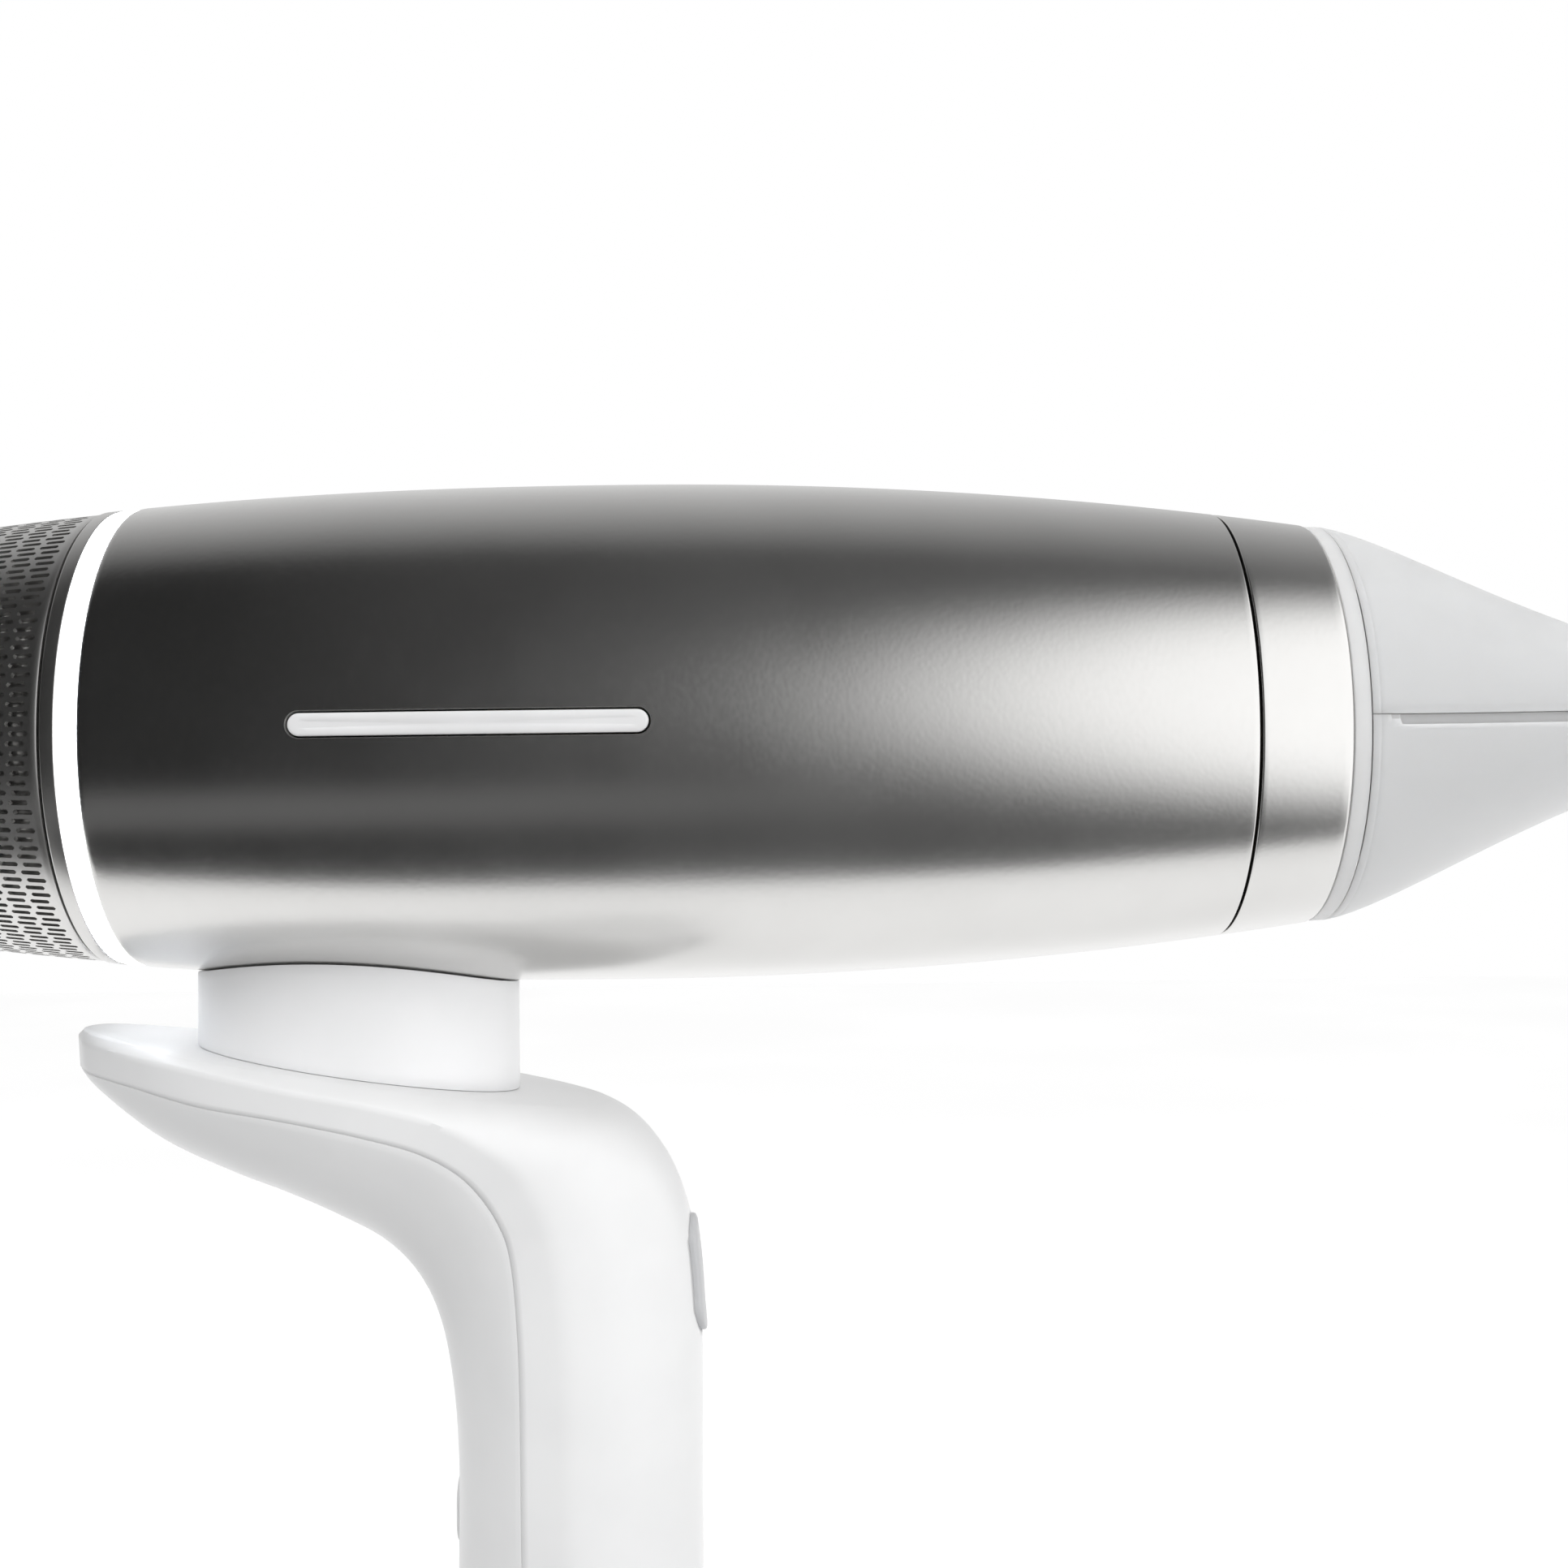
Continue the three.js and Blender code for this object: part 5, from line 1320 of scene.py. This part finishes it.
def box_mesh(name, low, high, round_by):
    """A block with rounded edges."""
    work = bmesh.new()
    bmesh.ops.create_cube(work, size=1.0)
    size = [high[k] - low[k] for k in range(3)]
    for v in work.verts:
        v.co = Vector([(low[k] + high[k]) / 2 + v.co[k] * size[k] for k in range(3)]) * MM
    bmesh.ops.bevel(work, geom=work.edges[:], offset=round_by * MM, segments=4, affect="EDGES", profile=0.5)
    mesh = bpy.data.meshes.new(name)
    work.to_mesh(mesh)
    work.free()
    return shaded(mesh, KEY_SMOOTH)


def united(name, *meshes):
    """Several meshes in one, each left as its own closed shell."""
    work = bmesh.new()
    for mesh in meshes:
        work.from_mesh(mesh)
    done = bpy.data.meshes.new(name)
    work.to_mesh(done)
    work.free()
    return shaded(done, KEY_SMOOTH)


KEY_HALF_Y = 3.8
KEY_HALF_Z = 5.2
SLIDER_HALF_Z = 4.4
SLIDER_TRAVEL = 8.0
STEM_HALF_Y = 2.6
SLOT_HALF_Y = 2.85
HEAT_Z, SPEED_Z, SLIDER_Z = (middle(node, Z) for node in ("heat_button", "speed_button", "power_slider"))
panel_body = pill_rings(
    [
        (PANEL_X1, PANEL_HALF_Y, PANEL_HALF_Z),
        (PANEL_X0 + 0.3, PANEL_HALF_Y, PANEL_HALF_Z),
        (PANEL_X0, PANEL_HALF_Y - 0.3, PANEL_HALF_Z - 0.3),
    ]
)
slot_z = SLIDER_Z + SLIDER_TRAVEL / 2
slot_half_z = SLIDER_HALF_Z + SLIDER_TRAVEL / 2 + 0.2
key_cutters = [pill_cutter(0, -1, KEY_HALF_Y, KEY_HALF_Z, z) for z in (HEAT_Z, SPEED_Z)]
slot_cutter = pill_cutter(0, -1, SLOT_HALF_Y, slot_half_z, slot_z, gap=0)
panel_mesh = cut(lofted("panel", panel_body), *key_cutters, slot_cutter)
piece("panel", soften(panel_mesh, 0.15), "casing", ["control_panel"], KEY_PLASTIC)

KEY_FACE, KEY_BASE = span("heat_button", X)
THREE_BARS = (-1.5, 0.0, 1.5)


def touch_bar(face_x, z, half_y, depth=0.9):
    """A low bar across a key's face."""
    return box_mesh("touch bar", (face_x, -half_y, z - 0.3), (face_x + depth, half_y, z + 0.3), 0.25)


heat_marks = [touch_bar(KEY_FACE, HEAT_Z + z, 1.1) for z in THREE_BARS]
speed_marks = [touch_bar(KEY_FACE, SPEED_Z, 0.5)]
for key, z, marks in (("heat", HEAT_Z, heat_marks), ("speed", SPEED_Z, speed_marks)):
    name = key + "_key"
    mesh = united(name, key_mesh(name, KEY_BASE, KEY_FACE, KEY_HALF_Y, KEY_HALF_Z, z), *marks)
    piece(name + "_cap", mesh, name, [key + "_button"], WHITE_PLASTIC)

# %% The power slider and the cool-shot key
SLIDER_FACE, SLIDER_BASE = span("power_slider", X)
knob = key_mesh("knob", PANEL_X0 - 0.3, SLIDER_FACE + 0.35, KEY_HALF_Y - 0.6, SLIDER_HALF_Z, SLIDER_Z, dish=0.0)
stem_ends = (PANEL_X0 - 0.31, SLIDER_BASE)
stem = lofted("stem", pill_rings([(x, STEM_HALF_Y, SLIDER_HALF_Z) for x in stem_ends], SLIDER_Z))
ribs = [touch_bar(SLIDER_FACE, SLIDER_Z + z, 1.9, depth=1.0) for z in THREE_BARS]
slider_mesh = united("slider_knob", knob, stem, *ribs)
piece("slider_knob", slider_mesh, "slider", ["power_slider"], WHITE_PLASTIC)

COOL_PROUD = 0.8
COOL_BASE = span("cool_shot_button", X)[0]


def front_line_x(z, y):
    """Where the grip's front surface is at a height and a distance from the middle plane."""
    s = min((abs(on_rail("front", t).z - z), t) for t in steps(9, STATIONS, 200))[1]
    front, upper = on_rail("front", s), on_rail("upper", s)
    share = min(abs(y) / upper.y, 1.0)
    return upper.x + (front.x - upper.x) * (1 - share ** roundness(s)) ** (1 / roundness(s))


def cool_ring(shrink, proud):
    """The cool-shot key's outline laid over the grip's front, proud of it."""
    outline = pill_outline(COOL_HALF_Z - shrink, COOL_HALF_Y - shrink, arc=14, along=20)
    return [(front_line_x(COOL_Z + u, v) + proud, v, COOL_Z + u) for u, v in outline]


cool_rings = [
    [(COOL_BASE, y, z) for _, y, z in cool_ring(0, 0)],
    cool_ring(0.0, COOL_PROUD - 0.5),
    cool_ring(0.08, COOL_PROUD - 0.2),
    cool_ring(0.3, COOL_PROUD - 0.05),
    cool_ring(0.7, COOL_PROUD),
    cool_ring(1.8, COOL_PROUD - 0.05),
    cool_ring(3.0, COOL_PROUD - 0.12),
]
cool_mesh = lofted("cool_key_cap", cool_rings, smooth_angle=50)
piece("cool_key_cap", cool_mesh, "cool_key", ["cool_shot_button"], KEY_PLASTIC)

# %% [markdown]
# ## The lower end
#
# A cap closes the grip, with a rubber gland in its middle where the mains cord goes in. The cap follows the
# grip's own section, and its lower edge is well rounded, so that it doesn't chip when the dryer is put down.

# %% End cap and gland
CAP_Z0 = span("end_cap", Z)[0]
GLAND_R = 6.0
GLAND_BORE = 3.6
END_STATION = STATIONS - 0.25
end_outline = front_section(END_STATION) + back_section(END_STATION)[1:-1][::-1]


def end_ring_at(z, inset):
    """The grip's section near its end, moved to a height and drawn in."""
    centre = sum((p.x for p in end_outline)) / len(end_outline)
    ring = []
    for p in end_outline:
        out = Vector((p.x - centre, p.y))
        out = out.normalized() * (out.length - inset)
        ring.append((centre + out.x, out.y, z))
    return ring


end_rings = [
    end_ring_at(CAP_TOP_Z, 0.25),
    end_ring_at(CAP_TOP_Z - 0.25, 0.03),
    end_ring_at(CAP_Z0 + 1.3, 0.03),
    end_ring_at(CAP_Z0 + 0.6, 0.25),
    end_ring_at(CAP_Z0 + 0.2, 0.7),
    end_ring_at(CAP_Z0, 1.4),
]
GLAND_POINTS = 64


def gland_ring(r, z):
    """A level circle about the cord, which leaves at the grip's middle."""
    return [(r * math.cos(a), r * math.sin(a), z) for a in turns(GLAND_POINTS)]


HOLE_ENDS = (-70, -50)
gland_hole = [gland_ring(GLAND_R + 0.2, z) for z in HOLE_ENDS]
end_mesh = cut(lofted("end_plate", end_rings), lofted("gland hole", gland_hole))
piece("end_plate", end_mesh, "casing", ["end_cap"], WHITE_PLASTIC)

gland_profile = [
    (GLAND_BORE, CAP_Z0 + 9),
    (GLAND_BORE, CAP_Z0 + 0.7),
    (GLAND_BORE + 0.25, CAP_Z0 + 0.3),
    (GLAND_R - 0.5, CAP_Z0 + 0.2),
    (GLAND_R, CAP_Z0 + 0.6),
    (GLAND_R, CAP_Z0 + 7.3),
    (GLAND_R + 2, CAP_Z0 + 7.3),
    (GLAND_R + 2, CAP_Z0 + 9),
]
gland_rows = [gland_ring(r, z) for r, z in gland_profile]
gland_faces = grid_faces(len(gland_rows), GLAND_POINTS, close_rows=True, close_columns=True)
gland_mesh = mesh_from("cord_bush", flat(gland_rows), gland_faces)
piece("cord_bush", gland_mesh, "casing", ["cord_gland"], RUBBER)

# %% [markdown]
# ## The nozzle
#
# The concentrator squeezes the round air stream into a flat one. Its section starts as a circle and turns
# into a wide, slightly squared oval. Two shells meet at the middle: the line between them starts as a fine
# parting line and opens into a shallow groove in the lower one.

# %% The nozzle's sections
NOZZLE_X0, MOUTH_X = span("nozzle_upper_shell", X)
NOZZLE_LENGTH = MOUTH_X - NOZZLE_X0
NOZZLE_R = shell_radius(FRONT_X) - 0.3
MOUTH_HALF_Y = 37.0
MOUTH_HALF_Z = 7.0
NOZZLE_WALL = 1.6
PARTING_X = 4.0
PARTING_GAP = 0.04
PARTING_STEP = (0.2, 0.06)
GROOVE_START = (0.7, 0.35)
GROOVE = (1.5, 0.7)


FALL_START = 1.38
FALL_END = 2.04
MOUTH_SQUARENESS = 0.7


def squeezed(t, start_r, mouth_half_y, mouth_half_z):
    """Half width, half height and squareness at a share t of the length, from a circle to the mouth."""
    ease = t * t * (3 - 2 * t)
    fall = 1 - (1 - t**FALL_START) ** FALL_END
    half_y = start_r + (mouth_half_y - start_r) * ease
    half_z = start_r + (mouth_half_z - start_r) * fall
    return half_y, half_z, 2 + MOUTH_SQUARENESS * ease


def nozzle_half(t):
    return squeezed(t, NOZZLE_R, MOUTH_HALF_Y, MOUTH_HALF_Z)


def on_oval(turn, half_y, half_z, power):
    """A point (y, z) of a squared oval."""
    c, s = math.cos(turn), math.sin(turn)
    return half_y * math.copysign(abs(c) ** (2 / power), c), half_z * math.copysign(abs(s) ** (2 / power), s)


def nozzle_arc(t, edge, inset=0.0, count=72):
    """Half a section, from one side's edge height over the top to the other side's."""
    half_y, half_z, power = nozzle_half(t)
    half_y, half_z = half_y - inset, half_z - inset
    low = math.asin(min(1.0, (edge / half_z) ** (power / 2)))
    x = NOZZLE_X0 + NOZZLE_LENGTH * t
    return [(x, *on_oval(turn, half_y, half_z, power)) for turn in steps(low, math.pi - low, count)]


print(f"the mouth is {2 * MOUTH_HALF_Y:.0f} by {2 * MOUTH_HALF_Z:.0f} mm at x = {MOUTH_X:.1f}")

# %% [markdown]
# A fine groove runs round the shells just ahead of the base ring, where the real ones are clipped together. It
# is a dip in the outline, less than a tenth of a millimetre deep. The groove along the side is a step in the
# lower shell's section: a ledge that runs from the groove's floor up to the parting line.

# %% The two shells
CLIP_LINE = 1.2
FINE = 0.07


def dip(distance):
    """How far the clip line draws the surface in at a distance from the shells' start."""
    return FINE * max(0.0, 1 - abs(distance - CLIP_LINE) / 0.25) + 0.12 * max(0.0, 1 - distance / 0.3)


near = [0.0, 0.1, 0.3, 0.8, 0.95, 1.075, 1.2, 1.325, 1.45, 2.0, PARTING_X - 1.5, PARTING_X - 1.3]
near += [PARTING_X - 0.15, PARTING_X + 0.15]
far = steps(PARTING_X + 1.5, NOZZLE_LENGTH - 0.5, 60)
tip = [(NOZZLE_LENGTH - 0.15, 0.05), (NOZZLE_LENGTH, 0.25)]
distances = [(d, dip(d)) for d in near + far] + tip


def nozzle_point(t, height, inset):
    """A point of the section on its +Y side, at a height above the axis and an inset from the surface."""
    half_y, half_z, power = nozzle_half(t)
    y = (half_y - inset) * (1 - (height / (half_z - inset)) ** power) ** (1 / power)
    return (NOZZLE_X0 + NOZZLE_LENGTH * t, y, height)


def nozzle_shell(name, upside, grooved):
    """One shell. upside is 1 for the upper and -1 for the lower one, which may have the groove."""
    rows = []
    for distance, drawn in distances:
        edge, ledge = PARTING_STEP
        if grooved and distance > PARTING_X:
            edge, ledge = GROOVE
        elif grooved and distance > PARTING_X - 1.4:
            edge, ledge = GROOVE_START
        t = min(distance / NOZZLE_LENGTH, 1.0)
        arc = nozzle_arc(t, edge, drawn)
        lips = [nozzle_point(t, PARTING_GAP, drawn + ledge), nozzle_point(t, edge, drawn + ledge)]
        far_lips = [(x, -y, z) for x, y, z in reversed(lips)]
        rows.append([(x, y, AXIS_Z + upside * z) for x, y, z in lips + arc + far_lips])
    mesh = mesh_from(name, flat(rows), grid_faces(len(rows), len(rows[0])))
    return soften(thicken(mesh, NOZZLE_WALL - GROOVE[1]), 0.1, angle=50)


upper = nozzle_shell("nozzle_top", 1, grooved=False)
lower = nozzle_shell("nozzle_bottom", -1, grooved=True)
piece("nozzle_top", upper, "nozzle_head", ["nozzle_upper_shell"], NOZZLE_PLASTIC)
piece("nozzle_bottom", lower, "nozzle_head", ["nozzle_lower_shell"], NOZZLE_PLASTIC)

# %% The inner duct and the base ring
DUCT_R = span("nozzle_inner_duct", Z)[1] - AXIS_Z
DUCT_SKIN = 1.2
DUCT_POINTS = 128
DUCT_X0 = span("nozzle_inner_duct", X)[0]


def duct_ring(t, skin_depth=0.0):
    """A whole section of the inner duct at a share t of the nozzle's length."""
    half_y, half_z, power = squeezed(t, DUCT_R, MOUTH_HALF_Y - 3.2, MOUTH_HALF_Z - 1.9)
    half_y, half_z = half_y - skin_depth, half_z - skin_depth
    x = NOZZLE_X0 + NOZZLE_LENGTH * t
    ring = []
    for turn in turns(DUCT_POINTS):
        y, z = on_oval(turn, half_y, half_z, power)
        ring.append((x, y, AXIS_Z + z))
    return ring


def at_x(ring, x):
    """The same ring moved to a place along the barrel."""
    return [(x, y, z) for _, y, z in ring]


duct_out = [at_x(duct_ring(0.0), DUCT_X0)] + [duct_ring(t) for t in steps(0.0, 1.0, 48)]
duct_in = [duct_ring(t, DUCT_SKIN) for t in steps(1.0, 0.0, 48)] + [at_x(duct_ring(0.0, DUCT_SKIN), DUCT_X0)]
duct_rows = duct_out + duct_in
duct_faces = grid_faces(len(duct_rows), DUCT_POINTS, close_rows=True, close_columns=True)
duct_mesh = soften(mesh_from("nozzle_duct", flat(duct_rows), duct_faces), 0.15, angle=60)
piece("nozzle_duct", duct_mesh, "nozzle_head", ["nozzle_inner_duct"], NOZZLE_PLASTIC)

BASE_X0, BASE_X1 = span("nozzle_base", X)
BASE_SEAT = FRONT_X + 0.1
base_profile = [
    (BASE_X0, DUCT_R + 0.3, 0.2),
    (BASE_X0, OUTLET_R - 0.6, 0.5),
    (BASE_SEAT, OUTLET_R - 0.6, 0.1),
    (BASE_SEAT, NOZZLE_R + 0.1, 0.2),
    (BASE_X1 + 0.15, NOZZLE_R, 0.15),
    (BASE_X1 + 0.15, NOZZLE_R - 3.8, 0.1),
    (BASE_X1 - 1, NOZZLE_R - 3.8, 0.1),
    (BASE_X1 - 1, DUCT_R + 0.3, 0.1),
]
base_mesh = turned("nozzle_seat_ring", base_profile)
piece("nozzle_seat_ring", base_mesh, "nozzle_seat", ["nozzle_base"], NOZZLE_PLASTIC)

# %% [markdown]
# ## The room
#
# A dryer like this is shown in a plain white room. The metal coat shows what stands round it, so the room is
# built for its reflections: a white floor below, a broad white panel ahead of the nozzle on the viewer's
# side, a white wall behind, and darkness above and in front. A world shader makes the walls. Seen directly it
# is plain white, and only reflections see the dark parts.

# %% Floor
FLOOR_Z = CAD_BOX[0][2] / MM
FLOOR_HALF_X = 1500
FLOOR_NEAR_Y, FLOOR_FAR_Y = -78, 1800
SEEN_GLOW = 0.48
MIRRORED_GLOW = 0.62
corners = [(-FLOOR_HALF_X, FLOOR_NEAR_Y), (FLOOR_HALF_X, FLOOR_NEAR_Y)]
corners += [(FLOOR_HALF_X, FLOOR_FAR_Y), (-FLOOR_HALF_X, FLOOR_FAR_Y)]
floor_mesh = mesh_from("floor", [(x, y, FLOOR_Z) for x, y in corners], [(0, 1, 2, 3)])
floor = bpy.data.objects.new("floor", floor_mesh)
bpy.context.scene.collection.objects.link(floor)
floor_paint, floor_tree, floor_shader = new_material("pale floor")
tones(floor_tree, floor_shader, (0.50, 0.50, 0.50), (0.52, 0.52, 0.52), 4.0, (0.85, 0.95))
floor_rays = place(floor_tree, "ShaderNodeLightPath")
mirrored = math_node(floor_tree, "MULTIPLY", floor_rays.outputs["Is Glossy Ray"], MIRRORED_GLOW)
floor_glow = math_node(floor_tree, "MULTIPLY_ADD", floor_rays.outputs["Is Camera Ray"], SEEN_GLOW, mirrored)
feed(floor_tree, floor_shader, Emission_Strength=floor_glow)
floor.data.materials.append(floor_paint)
print(f"floor at {FLOOR_Z:.1f} mm")

# %% [markdown]
# The world's brightness depends on the direction that a ray leaves in. `facing` is high towards the big panel,
# which stands ahead of the nozzle on the viewer's side. The back wall gets brighter the further round a ray
# goes. Rays that light the plastic see a plain room instead, a little brighter above and ahead, so that a
# white handle keeps its shading. Each row of four numbers below says where a change starts and ends, and how
# bright the room is at those two places.

# %% The white room
bpy.context.scene.view_settings.view_transform = "Standard"
world = bpy.data.worlds.new("white room")
bpy.context.scene.world = world
world.use_nodes = True
room = world.node_tree
background = room.nodes["Background"]
direction = place(room, "ShaderNodeTexCoord").outputs["Generated"]
way = place(room, "ShaderNodeSeparateXYZ", Vector=direction)
way_x, way_y, way_z = way.outputs["X"], way.outputs["Y"], way.outputs["Z"]


def weighted(tree, *pairs):
    """The sum of several values, each times its own weight."""
    total = 0.0
    for value, weight in pairs:
        total = math_node(tree, "MULTIPLY_ADD", value, weight, total)
    return total


PANEL = (0.59, 0.91, 0.0, 1.5)
BACK_WALL = (-0.08, 1.0, 0.0, 0.8)
FLOOR_AHEAD = (-0.99, -0.93, 1.15, 0.0)
DUSK = (-0.35, 0.1, 0.0, 0.095)
SHELF_FROM, SHELF_TO = (-0.74, -0.60, 0.0, 1.0), (-0.52, -0.36, 1.0, 0.0)
SHELF_REACH = (-0.3, 0.2, 0.16, 0.0)
OVERHEAD = (-0.3, 1.0, 0.0, 0.34)
PLAIN_LIGHT = 0.72

facing = weighted(room, (way_x, 1.0), (way_y, -0.54), (way_z, 0.13))
panel_glow = mapped(room, facing, *PANEL)
wall_glow = mapped(room, way_y, *BACK_WALL, smooth=False)
wall_glow = weighted(room, (wall_glow, 1.0), (math_node(room, "MULTIPLY", wall_glow, way_x), -0.6))
floor_ahead = mapped(room, way_z, *FLOOR_AHEAD)
dusk = mapped(room, way_x, *DUSK, smooth=False)
shelf = math_node(room, "MULTIPLY", mapped(room, way_z, *SHELF_FROM), mapped(room, way_z, *SHELF_TO))
shelf_glow = math_node(room, "MULTIPLY", shelf, mapped(room, way_x, *SHELF_REACH, smooth=False))
brightest = math_node(room, "MAXIMUM", math_node(room, "MAXIMUM", panel_glow, wall_glow), floor_ahead)
reflected = weighted(room, (brightest, 1.0), (dusk, 1.0), (shelf_glow, 1.0))
overhead = mapped(room, way_z, *OVERHEAD, smooth=False)
lighting = math_node(room, "ADD", weighted(room, (way_x, 0.36), (way_y, 0.1), (overhead, 1.0)), PLAIN_LIGHT)

rays = place(room, "ShaderNodeLightPath")
is_glossy, is_diffuse = rays.outputs["Is Glossy Ray"], rays.outputs["Is Diffuse Ray"]
other = math_node(room, "SUBTRACT", 1.0, math_node(room, "ADD", is_glossy, is_diffuse))
seen = math_node(room, "MULTIPLY", reflected, is_glossy)
cast = math_node(room, "MULTIPLY", lighting, is_diffuse)
level = math_node(room, "ADD", math_node(room, "ADD", seen, cast), other)
colour = place(room, "ShaderNodeCombineColor", Red=level, Green=level, Blue=level)
feed(room, background, Color=colour.outputs[0])
print("world:", world.name)

# %% [markdown]
# Three soft lights give the plastic its form: a large one above, a small one low on the right that fills the
# nozzle's underside, and a long one behind, which reaches the handle's flat top under the barrel.

# %% Lights
def soft_light(name, place_mm, aim_mm, size_mm, watts, spread=180):
    data = bpy.data.lights.new(name, "AREA")
    data.shape = "RECTANGLE"
    data.size, data.size_y = (side * MM for side in size_mm)
    data.energy = watts
    data.spread = math.radians(spread)
    obj = bpy.data.objects.new(name, data)
    bpy.context.scene.collection.objects.link(obj)
    obj.location = Vector(place_mm) * MM
    obj.rotation_euler = (Vector(aim_mm) - Vector(place_mm)).to_track_quat("-Z", "Y").to_euler()
    obj.visible_camera = False
    obj.visible_glossy = False
    return obj


soft_light("top light", (-20, -360, 620), (-20, 0, 90), (400, 400), 1.9)
soft_light("nozzle light", (320, -230, 0), (150, 0, 130), (150, 150), 0.075, spread=60)
soft_light("back light", (-60, 450, 230), (-40, 0, 90), (600, 150), 0.5)

# %% [markdown]
# ## The camera
#
# The picture is taken square on to the barrel from a little below its axis, with a 45 mm lens at about 31 cm.
# The frame is shifted slightly, so that the barrel sits above its middle.

# %% Camera
VIEW_X = 30.0
DISTANCE = 312.0
LOOK_UP = math.radians(2.5)
ROLL = math.radians(0.68)
AIM_ABOVE = 0.87
forward = Vector((0, math.cos(LOOK_UP), math.sin(LOOK_UP)))
level_up = Vector((0, -math.sin(LOOK_UP), math.cos(LOOK_UP)))
level_right = Vector((1, 0, 0))
right = level_right * math.cos(ROLL) - level_up * math.sin(ROLL)
up = level_up * math.cos(ROLL) + level_right * math.sin(ROLL)
spot = Vector((VIEW_X, 0, AXIS_Z)) - forward * DISTANCE + level_up * AIM_ABOVE

lens = bpy.data.cameras.new("camera")
lens.sensor_width, lens.lens = 36.0, 45.02
lens.shift_x, lens.shift_y = 0.0145, -0.0378
lens.clip_start = 0.01
camera = bpy.data.objects.new("camera", lens)
bpy.context.scene.collection.objects.link(camera)
turn = Matrix((right, up, -forward)).transposed().to_4x4()
camera.matrix_world = Matrix.Translation(spot * MM) @ turn
bpy.context.scene.camera = camera
print("camera at", [round(v, 1) for v in spot])

# %% Finish
print(len(MADE), "pieces made")
